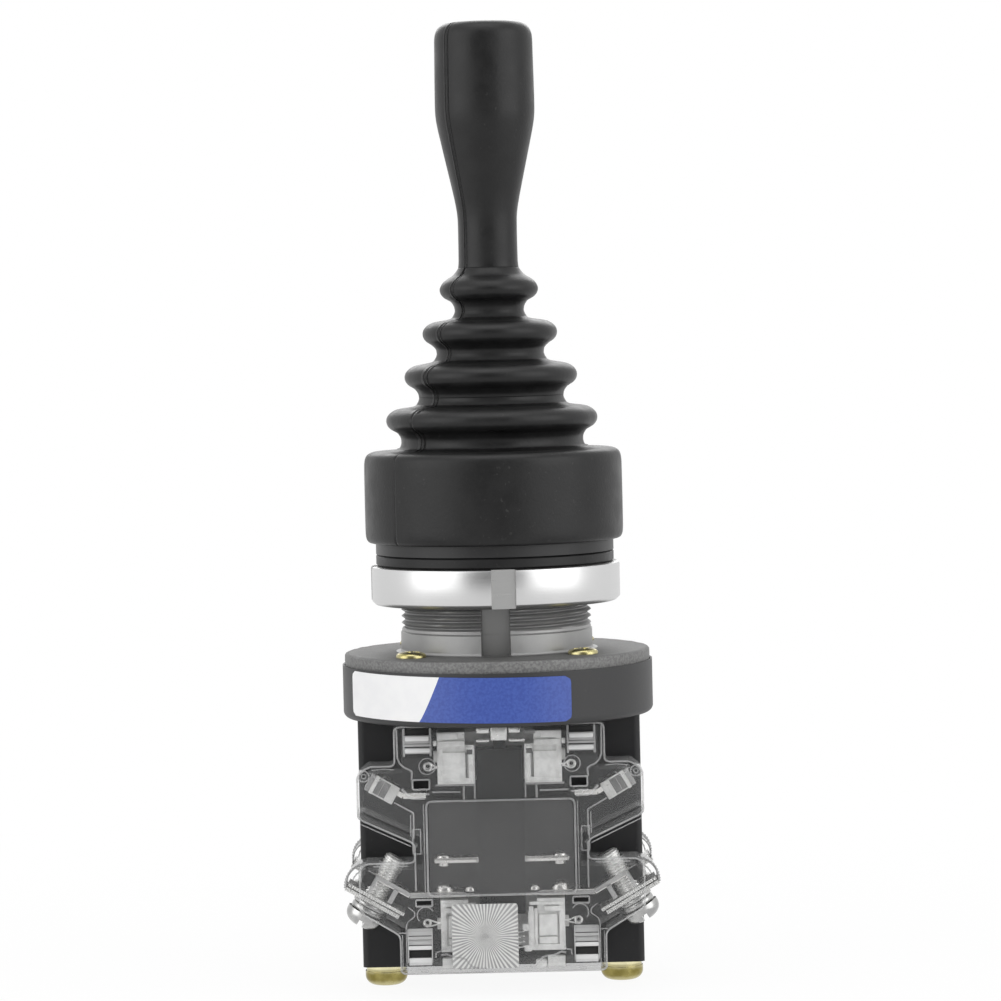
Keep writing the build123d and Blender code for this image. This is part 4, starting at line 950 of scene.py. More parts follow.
key_edges = [math.asin(x / neck_radius) for x in (key_left, key_right)]
front_angle = 1.5 * math.pi
neck_angles = [a for a in full_circle(168) if not key_edges[0] - 0.01 < a - front_angle < key_edges[1] + 0.01]
neck_angles += [front_angle + edge * share for edge in key_edges for share in (0.5, 0.998, 1.003)]
neck_angles.append(front_angle)
neck_angles.sort()
thread_length = thread_top - thread_bottom
rows = int(thread_length / (thread_pitch / 8))
thread_profile = [(thread_root, thread_bottom + thread_length * i / rows) for i in range(rows + 1)]
thread_profile += [(neck_bore, thread_top), (neck_bore, thread_bottom)]
points, faces = turn(thread_profile, neck_angles, closed=True, reach=threaded)
thread = make_piece("neck_thread", points, faces, neck_metal, "base", "cast_metal")
thread.data.set_sharp_from_angle(angle=math.radians(55))
print("thread faces:", len(thread.data.polygons))

# %% [markdown]
# ## The collar and the flange
# Below the thread the neck ends in a plain collar, which stands on the flange. A casting is
# never quite true, so noise moves the flange's edge and its top by some hundredths of a
# millimetre.

# %% Make the collar and the flange
collar_profile = [
    (neck_bore, collar_top + 0.02), (14.2, collar_top + 0.02), (14.85, collar_top), (15.1, collar_top - 0.22),
    (15.12, flange_top + 0.4), (15.3, flange_top + 0.1), (15.9, flange_top), (neck_bore, flange_top),
]


def collar_reach(radius, height, angle):
    """The collar with the keyway running down to the flange."""
    if height > flange_top + 0.05 and radius > neck_outer_side:
        return keyed(radius, angle)
    return radius, angle


points, faces = turn(collar_profile, neck_angles, closed=True, reach=collar_reach)
make_piece("neck_collar", points, faces, neck_metal, "base", "cast_metal", smooth=False)

flange_profile = smooth_line([(r, flange_top) for r in (15.2, 18.0, 21.0, 23.4)], 5)
flange_profile += [
    (23.85, flange_top - 0.12), (24.03, flange_top - 0.4), (flange_radius, flange_top - 1.2), (24.03, 50.0),
    (24.0, flange_bottom), (20.0, flange_bottom), (17.3, flange_bottom), (17.2, flange_bottom + 1.25),
    (neck_bore, flange_bottom + 1.25), (neck_bore, flange_top - 0.05),
]


def cast_reach(radius, height, angle):
    """A casting's uneven edge."""
    wave = noise.noise(Vector((math.cos(angle) * 3.1, math.sin(angle) * 3.1, height * 0.3)))
    fine = noise.noise(Vector((math.cos(angle) * 40, math.sin(angle) * 40, height * 2.0)))
    return radius + (0.05 * wave + 0.03 * fine) * (radius > flange_radius - 1), angle


points, faces = turn(flange_profile, full_circle(240), closed=True, reach=cast_reach)
flange_points = []
for x, y, z in points:
    if z > flange_top - 0.3 and math.hypot(x, y) > 15.5:
        z += 0.05 * noise.noise(Vector((x * 0.5, y * 0.5, 1.0))) - 0.03
    flange_points.append((x, y, z))
flange = make_piece("flange_casting", flange_points, faces, cast_metal, "base", "cast_metal")
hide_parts("bushing_flange")
print("flange faces:", len(flange.data.polygons))

# %% [markdown]
# ## The flange screws
# Four plated screws hold the flange. A head is a low dome with a cross recess, made as a grid of
# rings and spokes that drops inside the cross. Each head stands at an angle of its own, as
# screws do when they have been driven home.


# %% Make the flange screws
def cross_head(radius, high, recess):
    """A low domed head with a cross recess, as a grid of rings and spokes."""
    spokes, rings, rim_height = 96, 16, 0.3
    slot_half, slot_reach = 0.3 * radius / 2.35, 0.58 * radius
    points = [(radius * math.cos(a), radius * math.sin(a), 0.0) for a in full_circle(spokes)]
    for k in range(rings):
        r = radius * (1 - k / (rings - 0.4))
        for a in full_circle(spokes):
            x, y = r * math.cos(a), r * math.sin(a)
            z = rim_height + (high - rim_height) * math.sqrt(max(0.0, 1 - (r / radius) ** 3))
            slot = min(abs(x), abs(y)) < slot_half and max(abs(x), abs(y)) < slot_reach
            points.append((x, y, z - recess * slot))
    faces = [tuple(range(spokes - 1, -1, -1)), tuple(rings * spokes + i for i in range(spokes))]
    for k in range(rings):
        for i in range(spokes):
            j = (i + 1) % spokes
            faces.append((k * spokes + i, k * spokes + j, (k + 1) * spokes + j, (k + 1) * spokes + i))
    return points, faces


for i in range(1, 5):
    low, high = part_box(f"flange_screw_{i}")
    centre = (low + high) / 2
    spin = 0.5 + 0.7 * i
    cosine, sine = math.cos(spin), math.sin(spin)
    turned_head = moved(cross_head(2.35, 0.9, 0.45), lambda x, y, z: (
        x * cosine - y * sine + centre[0] * 1000, x * sine + y * cosine + centre[1] * 1000,
        z + flange_top - 0.03))
    head = make_piece(f"flange_screw_head_{i}", *turned_head, yellow_zinc, "base", "yellow_zinc")
    head.data.set_sharp_from_angle(angle=math.radians(40))
    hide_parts(f"flange_screw_{i}")
print("faces of a flange screw's head:", len(head.data.polygons))

# %% [markdown]
# ## The ring nut
# A bright turned aluminium ring with four notches for a pin spanner. Its outline is a circle
# that steps in at each notch, pulled up in a few rows so that both rims get a small chamfer,
# because only a chamfered rim catches the light as a real one does.

# %% Make the ring nut
nut_low, nut_high = 59.4, 65.5
nut_radius, nut_bore, notch_depth, notch_half = 19.65, 15.1, 1.0, 1.9
nut_outer_side = 18.0
notch_angles = [math.radians(-86.3 + 90 * i) for i in range(4)]
notch_turn = math.asin(notch_half / nut_radius)
nut_angles = []
for angle in full_circle(176):
    if all(abs((angle - n + math.pi) % (2 * math.pi) - math.pi) > notch_turn + 0.01 for n in notch_angles):
        nut_angles.append(angle)
for n in notch_angles:
    for f in (-1.004, -0.996, -0.5, 0.0, 0.5, 0.996, 1.004):
        nut_angles.append((n + f * notch_turn) % (2 * math.pi))
nut_angles.sort()


def notched(radius, height, angle):
    """The ring's outline, stepped in at the notches."""
    if radius > nut_outer_side:
        for n in notch_angles:
            off = (angle - n + math.pi) % (2 * math.pi) - math.pi
            if abs(off) < notch_turn:
                return min(radius, (nut_radius - notch_depth) / math.cos(off)), angle
    return radius, angle


lower_rim = [(1.6, 0.0), (0.72, 0.02), (0.62, 0.06), (0.06, 0.6), (0.0, 0.75)]
upper_rim = [(0.0, 0.45), (0.12, 0.14), (0.45, 0.02), (1.2, 0.0)]
bore_edge = 0.5
nut_profile = [(nut_bore + bore_edge, nut_low)]
nut_profile += [(nut_radius - inward, nut_low + up) for inward, up in lower_rim]
nut_profile += [(nut_radius - inward, nut_high - down) for inward, down in upper_rim]
nut_profile.append((nut_bore + bore_edge, nut_high))
nut_profile += [(nut_bore, nut_high - bore_edge), (nut_bore, nut_low + bore_edge)]
points, faces = turn(nut_profile, nut_angles, closed=True, reach=notched)
nut = make_piece("ring_nut_turned", points, faces, nut_metal, "ring_nut", "turned_aluminium")
nut.data.set_sharp_from_angle(angle=math.radians(32))
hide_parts("ring_nut")
print("nut faces:", len(nut.data.polygons))

# %% [markdown]
# ## The label on the base ring
# A paper label curves round the front of the base ring, white at the left and blue at the
# right, with rounded corners and a slanted join. Each half is a fine grid bent onto the ring and
# standing a tenth of a millimetre proud.


# %% Make the label
def paper_finish(name, colour, drift_colour, drift_scale, rough):
    """Printed, lacquered paper."""
    finish, tree, shader, *_ = start_finish(
        name, colour, drift_colour, rough, drift_scale, grain_scale=3500, bump=0.004)
    shader.inputs["Coat Weight"].default_value = 0.3
    shader.inputs["Coat Roughness"].default_value = 0.25
    return finish


label_white = paper_finish("label_white", (0.88, 0.88, 0.88), (0.84, 0.84, 0.85), 300, (0.35, 0.45))
label_blue = paper_finish("label_blue", (0.022, 0.058, 0.31), (0.040, 0.092, 0.40), 2200, (0.35, 0.45))


label_radius, label_low, label_high, label_corner = 24.45, 42.3, 49.25, 1.0
label_start, label_end, label_layers = -67.0, 27.2, (0.02, 0.10)
label_rise = 0.5


def label_join(v):
    """The angle in degrees of the slanted join between the halves, at a height from 0 to 1."""
    return -29.6 + 8.3 * v ** 0.85


def label_half(name, left, right, round_left, round_right, finish):
    """A curved patch. left and right give the angle in degrees at a height from 0 to 1."""
    columns, rows, radius, corner = 40, 14, label_radius, label_corner
    low, high = label_low, label_high
    points = []
    for layer in label_layers:
        for j in range(rows + 1):
            v = j / rows
            start, end = left(v), right(v)
            edge = min(v, 1 - v) * (high - low)
            inset = corner - math.sqrt(max(corner ** 2 - (corner - min(edge, corner)) ** 2, 0))
            degrees = math.degrees(inset / radius)
            start += degrees * round_left
            end -= degrees * round_right
            for i in range(columns + 1):
                a = math.radians(-90 + start + (end - start) * i / columns)
                r = radius + layer
                lift = label_rise * (label_end - math.degrees(a) - 90) / (label_end - label_start)
                points.append((r * math.cos(a), r * math.sin(a), low + lift + (high - low) * v))
    wide = columns + 1
    layer_size = wide * (rows + 1)
    faces = []
    for j in range(rows):
        for i in range(columns):
            a = j * wide + i
            b = a + layer_size
            faces.append((b, b + 1, b + wide + 1, b + wide))
            faces.append((a, a + wide, a + wide + 1, a + 1))
    rim = [i for i in range(columns)] + [j * wide + columns for j in range(rows)]
    rim += [rows * wide + i for i in range(columns, 0, -1)] + [j * wide for j in range(rows, 0, -1)]
    for k, a in enumerate(rim):
        b = rim[(k + 1) % len(rim)]
        faces.append((a, b, b + layer_size, a + layer_size))
    return make_piece(name, points, faces, finish, "base", "white_moulding", smooth=False)


label_half("label_white_part", lambda v: label_start, label_join, 1, 0, label_white)
label_half("label_blue_part", label_join, lambda v: label_end, 0, 1, label_blue)
print("label laid")

# %% [markdown]
# ## Lines on the clear covers
# The covers read as clear plastic mainly through their edges, which collect light. Low rounded
# beads follow the outline, the rims of the windows and the ribs. Each is a small section taken
# along a path on the cover's face. The four corners of the covers are alike, so a corner is
# described once, for the right of the front cover, and copied to the other three.


# %% Draw a bead along a path
cover_face = -18.0


def bead(path, closed=False, width=0.26, height=0.1):
    """Points and faces of a low bead along x, z points on a face that looks along -Y."""
    section = [(-0.5, -0.02), (-0.4, 0.75), (0.0, 1.0), (0.4, 0.75), (0.5, -0.02)]
    count = len(path)
    points = []
    for i, (x, z) in enumerate(path):
        before = path[(i - 1) % count] if closed or i else path[i]
        after = path[(i + 1) % count] if closed or i < count - 1 else path[i]
        d1 = Vector((x - before[0], z - before[1]))
        d2 = Vector((after[0] - x, after[1] - z))
        d1 = d1.normalized() if d1.length > 1e-9 else d2.normalized()
        d2 = d2.normalized() if d2.length > 1e-9 else d1
        mid = (d1 + d2).normalized() if (d1 + d2).length > 1e-9 else d1
        side = Vector((-mid[1], mid[0])) / max(mid.dot(d1), 0.5)
        for across, up in section:
            points.append((
                x + side[0] * across * width, cover_face - up * height, z + side[1] * across * width))
    n = len(section)
    faces = []
    for i in range(count if closed else count - 1):
        j = (i + 1) % count
        for k in range(n):
            m = (k + 1) % n
            faces.append((i * n + k, j * n + k, j * n + m, i * n + m))
    if not closed:
        faces.append(tuple(range(n)))
        faces.append(tuple((count - 1) * n + k for k in range(n)))
    return points, faces


def rounded_path(corner_points, radius, steps=4):
    """A closed outline with its corners rounded."""
    path = []
    count = len(corner_points)
    for i in range(count):
        p = Vector(corner_points[i])
        a = Vector(corner_points[i - 1]) - p
        b = Vector(corner_points[(i + 1) % count]) - p
        r = min(radius, a.length / 2.2, b.length / 2.2)
        first, last = p + a.normalized() * r, p + b.normalized() * r
        for s in range(steps + 1):
            t = s / steps
            path.append(tuple((1 - t) ** 2 * first + 2 * t * (1 - t) * p + t * t * last))
    return path


def rectangle(x0, z0, x1, z1):
    """Four corners of an upright rectangle."""
    return [(x0, z0), (x1, z0), (x1, z1), (x0, z1)]


def ring_path(x, z, radius, count=28, start=0, stop=360):
    """Points of a circle or of a part of one."""
    path = []
    for i in range(count + (stop - start < 360)):
        a = math.radians(start + (stop - start) * i / count)
        path.append((x + radius * math.cos(a), z + radius * math.sin(a)))
    return path


def front_and_rear(name, shape, finish, slot):
    """A piece of the front cover and, turned half round, of the rear one."""
    for side, way in (("front", 1), ("rear", -1)):
        points = [(way * x, way * y, z) for x, y, z in shape[0]]
        make_piece(f"{name}_{side}", points, shape[1], finish, "base", slot)


print("bead ready")

# %% [markdown]
# ## Where the beads lie
# The outline of a cover and the rim of its middle window are closed beads with rounded corners.
# Inside the outline lie ribs, small rings and frames. Each has a width and a height of its own,
# because on the real cover some catch more light than others.

# %% Lay the beads of the covers
frame_low, frame_high, bead_inset = 3.2, 41.7, 0.16
outline = [
    (16.3, frame_high), (16.3, 35.5), (20.5, 35.5), (22.1, 34.0), (22.1, 27.5), (13.5, 23.5), (13.5, 20.5),
    (21.1, 20.5), (22.1, 19.5), (22.1, 13.0), (16.0, 9.3), (16.0, frame_low),
]
outline = outline + [(-x, z) for x, z in reversed(outline)]
inset = []
for x, z in outline:
    level = min(max(z, frame_low + bead_inset), frame_high - bead_inset)
    inset.append((x - math.copysign(bead_inset, x), level))
edge_lines = gather(
    bead(rounded_path(inset, 0.9), True, 0.26, 0.1),
    bead(rounded_path(rectangle(-11.42, 15.3, 11.42, 29.95), 0.9), True, 0.3, 0.14),
)
front_and_rear("cover_lines", edge_lines, clear_edge, "clear_plastic")

corner_lines = gather(
    bead([(15.75, 41.2), (15.7, 36.8), (15.35, 35.9), (14.7, 35.3),
          (13.9, 34.95), (13.55, 34.7), (13.5, 34.3), (13.6, 33.4)]),
    bead(rounded_path(rectangle(10.85, 31.85, 13.45, 33.35), 0.25), True, 0.26, 0.16),
    bead([(10.9, 31.1), (13.55, 31.25)], width=0.3, height=0.08),
    bead([(11.6, 30.5), (13.6, 30.55), (14.1, 30.8), (15.1, 32.0)], width=0.42, height=0.2),
    bead([(13.45, 24.3), (13.4, 28.0), (13.5, 28.3), (16.4, 29.95)], width=0.22),
    bead([(13.9, 24.6), (13.85, 27.9)], width=0.16, height=0.06),
    bead(ring_path(20.95, 34.05, 0.82), True, 0.2, 0.12),
    bead(ring_path(20.95, 34.05, 0.35, 16), True, 0.14, 0.06),
    bead(rounded_path(rectangle(12.4, 21.9, 13.6, 25.7), 0.12), True, 0.16, 0.08),
    bead([(11.85, 29.6), (11.85, 16.0)], width=0.14, height=0.06),
    bead([(13.3, 21.8), (13.3, 16.2)], width=0.24, height=0.08),
    bead(rounded_path(rectangle(10.85, 13.75, 13.35, 14.75), 0.2), True, 0.24, 0.14),
    bead([(16.25, 35.0), (17.9, 35.15), (19.7, 34.95)], width=0.16, height=0.08),
    bead([(17.7, 34.0), (18.6, 33.2), (20.0, 34.6)], width=0.14, height=0.05),
    bead([(13.9, 23.1), (21.7, 26.75)], width=0.16, height=0.06),
    bead([(14.4, 20.05), (18.2, 20.05), (19.8, 20.1)], width=0.16, height=0.06),
    bead([(14.95, 4.2), (14.95, 10.6), (14.7, 11.4), (13.6, 12.2), (13.6, 12.9), (14.6, 13.7)],
         width=0.14, height=0.06),
    bead([(14.9, 9.7), (16.1, 9.7)], width=0.18, height=0.08),
    bead([(15.55, 4.0), (15.55, 9.4)], width=0.12, height=0.05),
    bead([(4.0, 32.4), (9.9, 32.45)], width=0.3, height=0.12),
    bead([(3.9, 38.3), (3.9, 30.3)], width=0.24, height=0.12),
    bead([(6.1, 31.35), (10.5, 31.4)], width=0.24, height=0.1),
    bead([(5.6, 32.2), (5.6, 30.2)], width=0.3, height=0.12),
    bead(ring_path(11.15, 35.4, 1.25), True, 0.16, 0.1),
    bead(ring_path(11.9, 12.35, 1.3, 22, -40, 150), False, 0.16, 0.1),
)
four_corners("cover_ribs", corner_lines, clear_edge, "clear_plastic")
print("beads laid")

# %% [markdown]
# ## Latches
# A cover is held by four snap latches. Each shows as a pocket with rounded ledges, painted pale for the light
# that the clear plastic gathers there, and a black slot through to the dark frame. A ledge is a block with
# rounded edges, so that it carries a soft band of light and not a flat tone.

# %% Make the latches
latch_clear = clear_finish(
    "latch_clear", (0.36, 0.36, 0.36), (0.62, 0.62, 0.62), face_on=0.75, edge_on=0.95, rough=(0.12, 0.22))
# Painted light: the latch strips are a nearly opaque pale grey.
latch_painted_light = clear_finish(
    "latch_painted_light", (0.66, 0.66, 0.66), (0.84, 0.84, 0.84), face_on=0.85, edge_on=0.98, rough=(0.12, 0.22))
slot_black, *_ = start_finish(
    "slot_black", (0.002, 0.002, 0.002), (0.004, 0.004, 0.004), (0.5, 0.7),
    drift_scale=200, grain_scale=3000, bump=0.004)

upper_latch = gather(
    rounded_block((10.6, -18.02, 39.85), (14.75, -17.5, 40.2), 0.14),
    rounded_block((10.75, -17.75, 38.85), (14.6, -17.42, 39.8), 0.3),
    rounded_block((10.5, -17.98, 38.45), (14.65, -17.5, 38.85), 0.16),
    rounded_block((10.45, -18.1, 37.35), (14.6, -17.6, 38.3), 0.2),
    rounded_block((10.4, -17.75, 36.9), (10.75, -17.3, 41.3), 0.16),
    rounded_block((14.5, -17.75, 36.9), (14.85, -17.3, 41.3), 0.16),
)
lower_latch = gather(
    rounded_block((10.9, -17.8, 9.2), (14.65, -17.42, 10.3), 0.1),
    rounded_block((10.95, -18.05, 8.6), (14.7, -17.5, 9.1), 0.2),
    rounded_block((10.95, -17.75, 7.75), (14.7, -17.42, 8.55), 0.25),
    rounded_block((10.9, -17.95, 5.0), (11.1, -17.42, 10.2), 0.08),
    rounded_block((14.6, -17.95, 5.0), (14.8, -17.42, 10.2), 0.08),
)
lower_strips = gather(
    rounded_block((11.0, -18.0, 7.0), (14.7, -17.5, 7.65), 0.22),
    rounded_block((11.05, -17.85, 4.6), (14.6, -17.42, 5.75), 0.15),
)
upper_strips = gather(
    rounded_block((10.8, -18.05, 39.3), (14.5, -17.5, 40.1), 0.2),
    rounded_block((10.6, -18.15, 37.5), (14.55, -17.6, 38.2), 0.2),
)
four_corners("lower_latch_strips", lower_strips, latch_painted_light, "clear_plastic")
four_corners("upper_latch_strips", upper_strips, latch_painted_light, "clear_plastic")
four_corners("upper_latch", upper_latch, latch_clear, "clear_plastic")
four_corners("lower_latch", lower_latch, latch_clear, "clear_plastic")
slot_front, slot_back = -17.46, -17.3
for name, (x0, z0, x1, z1) in (
    ("upper_latch_slot", (10.85, 40.25, 14.4, 41.1)),
    ("lower_latch_slot", (11.1, 5.85, 14.55, 6.85)),
    ("ledge_slot", (6.2, 30.35, 10.3, 30.85)),
):
    dark_slot = rounded_block((x0, slot_front, z0), (x1, slot_back, z1), 0.06)
    four_corners(name, dark_slot, slot_black, "black_moulding")
print("latches made")

# %% [markdown]
# ## White contact holders
# The holders are small white mouldings that guide the contact springs. Steps, ledges and a
# raised pad are put on the plain solid as rounded blocks, because in white plastic only the thin
# shadow beside an edge tells the shape.

# %% Make the holders' steps
holder_y = -16.5
upper_holder = gather(
    rounded_block((5.25, holder_y - 0.1, 33.2), (8.75, -15.8, 37.3), 0.14),
    rounded_block((4.0, holder_y - 0.12, 37.75), (5.1, -16.0, 38.15), 0.1),
    rounded_block((5.3, holder_y - 0.22, 38.2), (9.5, -16.1, 39.1), 0.16),
    rounded_block((6.4, holder_y - 0.15, 39.3), (9.55, -16.1, 40.35), 0.14),
    rounded_block((8.95, holder_y - 0.08, 33.0), (9.6, -16.1, 37.9), 0.1),
    rounded_block((4.0, holder_y - 0.1, 32.6), (4.55, -16.1, 37.0), 0.12),
    rounded_block((4.7, holder_y - 0.02, 32.5), (9.3, -16.1, 32.95), 0.12),
    rounded_block((9.65, -17.0, 38.4), (10.2, -16.2, 39.2), 0.12),
)
lower_holder = gather(
    rounded_block((5.55, holder_y - 0.14, 8.6), (8.4, -15.7, 11.95), 0.16),
    rounded_block((5.55, holder_y - 0.1, 7.35), (8.4, -15.7, 8.45), 0.14),
    rounded_block((4.0, holder_y - 0.08, 6.7), (4.75, -16.1, 13.2), 0.12),
    rounded_block((4.85, holder_y - 0.05, 6.6), (5.35, -16.1, 12.9), 0.1),
    rounded_block((4.1, holder_y - 0.2, 13.4), (9.4, -16.1, 13.95), 0.14),
    rounded_block((6.4, holder_y - 0.15, 12.4), (8.9, -16.1, 13.2), 0.12),
    rounded_block((8.7, holder_y - 0.1, 11.3), (9.5, -16.1, 13.2), 0.16),
    rounded_block((8.75, holder_y - 0.06, 6.8), (9.5, -16.1, 10.6), 0.16),
    rounded_block((4.6, holder_y - 0.02, 6.35), (9.6, -16.1, 6.75), 0.1),
    rounded_block((6.8, -16.78, 3.6), (9.5, -15.2, 5.4), 0.12),
    rounded_block((4.9, -16.7, 3.6), (6.7, -15.2, 4.9), 0.3),
)
four_corners("upper_holder_steps", upper_holder, white_moulding, "white_moulding")
four_corners("lower_holder_steps", lower_holder, white_moulding, "white_moulding")
# Painted shadows: thin dark grey blocks beside the holders' steps stand in for the shadow lines there.
painted_shadow_strips = gather(
    rounded_block((4.15, holder_y - 0.06, 36.95), (5.05, -16.2, 37.7), 0.04),
    rounded_block((5.1, holder_y - 0.03, 33.3), (5.2, -16.2, 37.2), 0.02),
)
painted_shadow_grey, *_ = start_finish(
    "holder_shadow", (0.10, 0.10, 0.10), (0.16, 0.16, 0.16), (0.4, 0.5),
    drift_scale=300, grain_scale=2600, bump=0.004)
four_corners("holder_painted_shadows", painted_shadow_strips, painted_shadow_grey, "white_moulding")
print("holders stepped")

# %% [markdown]
# ## Small contact springs
# Beside each holder a thin spring wire ends in a coil. Its two legs run from the holder's nose
# to the sides of the coil. A wire is a circle taken along a path, here straight legs and a helix
# whose axis points at the viewer.


# %% Make the contact springs
def hook_spring(nose_x, nose_z, coil_x, coil_z, radius):
    """Two legs from a nose and a small coil at their end."""
    turns, steps = 3.2, 60
    nose_y, coil_y = -16.1, -16.3
    coil_points = []
    for i in range(steps + 1):
        a = 2 * math.pi * turns * i / steps + math.pi / 2
        r = radius * (1 - 0.35 * i / steps)
        coil_points.append((coil_x + r * math.cos(a), coil_y + 0.9 * i / steps, coil_z + r * math.sin(a)))
    bend_x, bend_out = coil_x - 0.55 * radius, radius * 0.95
    upper_leg = [
        (nose_x, nose_y, nose_z + 0.05), (bend_x, coil_y, coil_z + bend_out),
        (coil_x, coil_y, coil_z + radius),
    ]
    lower_leg = [
        (nose_x, nose_y, nose_z - 0.05), (bend_x, coil_y + 0.05, coil_z - bend_out),
        (coil_x + 0.1, coil_y + 0.1, coil_z - radius),
    ]
    tail = [(nose_x + 0.1, nose_y, nose_z), (nose_x - 0.5, coil_y - 0.1, nose_z + 0.1)]
    return gather(wire(coil_points, 0.16), wire(upper_leg, 0.13), wire(lower_leg, 0.13), wire(tail, 0.3))


four_corners("upper_contact_spring", hook_spring(9.9, 35.0, 11.1, 35.15, 0.62), nickel, "spring_steel")
four_corners("lower_contact_spring", hook_spring(9.9, 10.8, 11.7, 10.9, 0.55), nickel, "spring_steel")
print("springs made")

# %% [markdown]
# ## Terminals
# The terminals lean outward by thirty degrees, so their pieces are described along the wing:
# how far along it, how far to the rear, and how far out along the screw. Two functions turn
# that into the shared frame, one for each wing.


# %% Set up the wing's own directions
wing_angle = math.radians(30)
wing_y = -13.4
lower_wing_x, lower_wing_z = 18.28, 17.5
upper_wing_x, upper_wing_z = 15.0, 30.65


def on_lower_wing(along, y, out):
    """A point given along the lower wing, across it and out along its screw."""
    return (lower_wing_x + along * math.cos(wing_angle) + out * math.sin(wing_angle), wing_y + y,
            lower_wing_z + along * math.sin(wing_angle) - out * math.cos(wing_angle))


def on_upper_wing(along, y, out):
    """The same for the upper wing."""
    return (upper_wing_x + along * math.cos(wing_angle) + out * math.sin(wing_angle), wing_y + y,
            upper_wing_z + along * math.sin(wing_angle) - out * math.cos(wing_angle))


print("wing directions ready")

# %% [markdown]
# ## Terminal screws
# Each terminal screw is nickelled steel: a threaded shank, a pair of toothed clamp plates, two
# washers and a pan head with a slot. The thread climbs with the angle as a real one does. The
# head is made of cross-sections along one direction, because that gives the slot upright walls.

# %% Make the terminal screws
screw_pitch, shank_radius, shank_end, shank_top = 0.5, 1.75, -4.0, 6.0


def screw_thread(radius, height, angle):
    """Thread on the shank between its plain ends."""
    if radius < shank_radius - 0.15:
        return radius, angle
    phase = (height / screw_pitch - angle / (2 * math.pi)) % 1.0
    depth = 0.24 * min(1.0, max(0.0, (height + 3.9) / 0.5)) * (height < 3.0)
    return radius - depth * abs(2 * phase - 1), angle


def slotted_head(radius, low, high, slot_half, slot_floor):
    """A domed head between two levels, cut by a slot that runs towards the viewer."""
    spread = [-1, -0.985, -0.94, -0.86, -0.74, -0.6, -0.45, -0.3]
    stations = [(s * radius, False) for s in spread]
    stations += [(-slot_half, False), (-slot_half, True), (slot_half, True), (slot_half, False)]
    stations += [(-s * radius, False) for s in reversed(spread)]
    steps, rim_height = 20, 0.45
    points = []
    for along, cut in stations:
        half = math.sqrt(max(radius ** 2 - along ** 2, 0.0004))
        row = [(along, -half, low), (along, half, low)]
        for k in range(steps + 1):
            y = half * math.cos(math.pi * k / steps)
            reach = math.hypot(along, y) / radius
            top = low + rim_height + (high - low - rim_height) * max(0.0, 1 - reach ** 3.0) ** 0.5
            row.append((along, y, min(top, slot_floor) if cut else top))
        points += row
    n = steps + 3
    faces = []
    for i in range(len(stations) - 1):
        for k in range(n):
            m = (k + 1) % n
            faces.append((i * n + k, i * n + m, (i + 1) * n + m, (i + 1) * n + k))
    faces += [tuple(range(n)), tuple((len(stations) - 1) * n + k for k in range(n))]
    return points, faces


def toothed_plate(along_low, along_high, half, low, high, teeth, depth):
    """A plate whose long edges are toothed."""
    rim = []
    for i in range(2 * teeth + 1):
        rim.append((along_low + (along_high - along_low) * i / (2 * teeth), -half + depth * (i % 2)))
    for i in range(2 * teeth, -1, -1):
        rim.append((along_low + (along_high - along_low) * i / (2 * teeth), half - depth * (i % 2)))
    n = len(rim)
    points = [(a, y, low) for a, y in rim] + [(a, y, high) for a, y in rim]
    faces = [tuple(range(n)), tuple(range(n, 2 * n))]
    faces += [(k, (k + 1) % n, n + (k + 1) % n, n + k) for k in range(n)]
    return points, faces


row_step, threaded_length = screw_pitch / 7, 8.8
thread_rows = int(threaded_length / row_step)
shank_rows = [(1.3, shank_end), (1.62, shank_end + 0.3)]
shank_rows += [(shank_radius, shank_end + 0.35 + i * row_step) for i in range(thread_rows)]
shank_rows.append((shank_radius, shank_top))
shank = lathe_rod(shank_rows, 36, screw_thread)
washer_bore = 1.8
washers = gather(
    lathe_rod([(washer_bore, 4.12), (2.62, 4.12), (2.76, 4.2), (2.82, 4.45), (2.76, 4.7), (2.6, 4.78),
               (washer_bore, 4.78)], 40),
    lathe_rod([(washer_bore, 4.84), (2.5, 4.84), (2.64, 4.95), (2.68, 5.3), (2.62, 5.7), (2.45, 5.86),
               (washer_bore, 5.86)], 40),
)
plates = gather(
    toothed_plate(-5.2, 4.6, 2.75, 2.8, 3.3, 24, 0.2),
    toothed_plate(-4.7, 4.7, 2.85, 3.46, 4.06, 26, 0.22),
)
four_corners("clamp_shank", moved(shank, on_lower_wing), nickel, "bright_steel")
screw_shape = gather(washers, slotted_head(2.95, 5.9, 8.2, 0.45, 7.05))
screws = four_corners("clamp_screw", moved(screw_shape, on_lower_wing), shaded_head_nickel, "bright_steel")
four_corners("clamp_plates", moved(plates, on_lower_wing), nickel, "bright_steel")
for corner, screw in screws.items():
    screw.data.set_sharp_from_angle(angle=math.radians(50))
    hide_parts(f"terminal_screw_{corner}")
print("screw faces:", len(screws["front_right"].data.polygons))

# %% [markdown]
# ## Wire guides and cages
# Behind the screw a clear, ribbed guide leads the wire in, and the upper wing carries a box cage
# with a window. They are made in the wing's directions too.

# %% Make the wire guides and the cages
guide_path = [
    (20.8, 20.35), (21.7, 20.2), (22.6, 19.75), (23.3, 19.1), (23.75, 18.3), (23.95, 17.5), (24.0, 16.8),
]


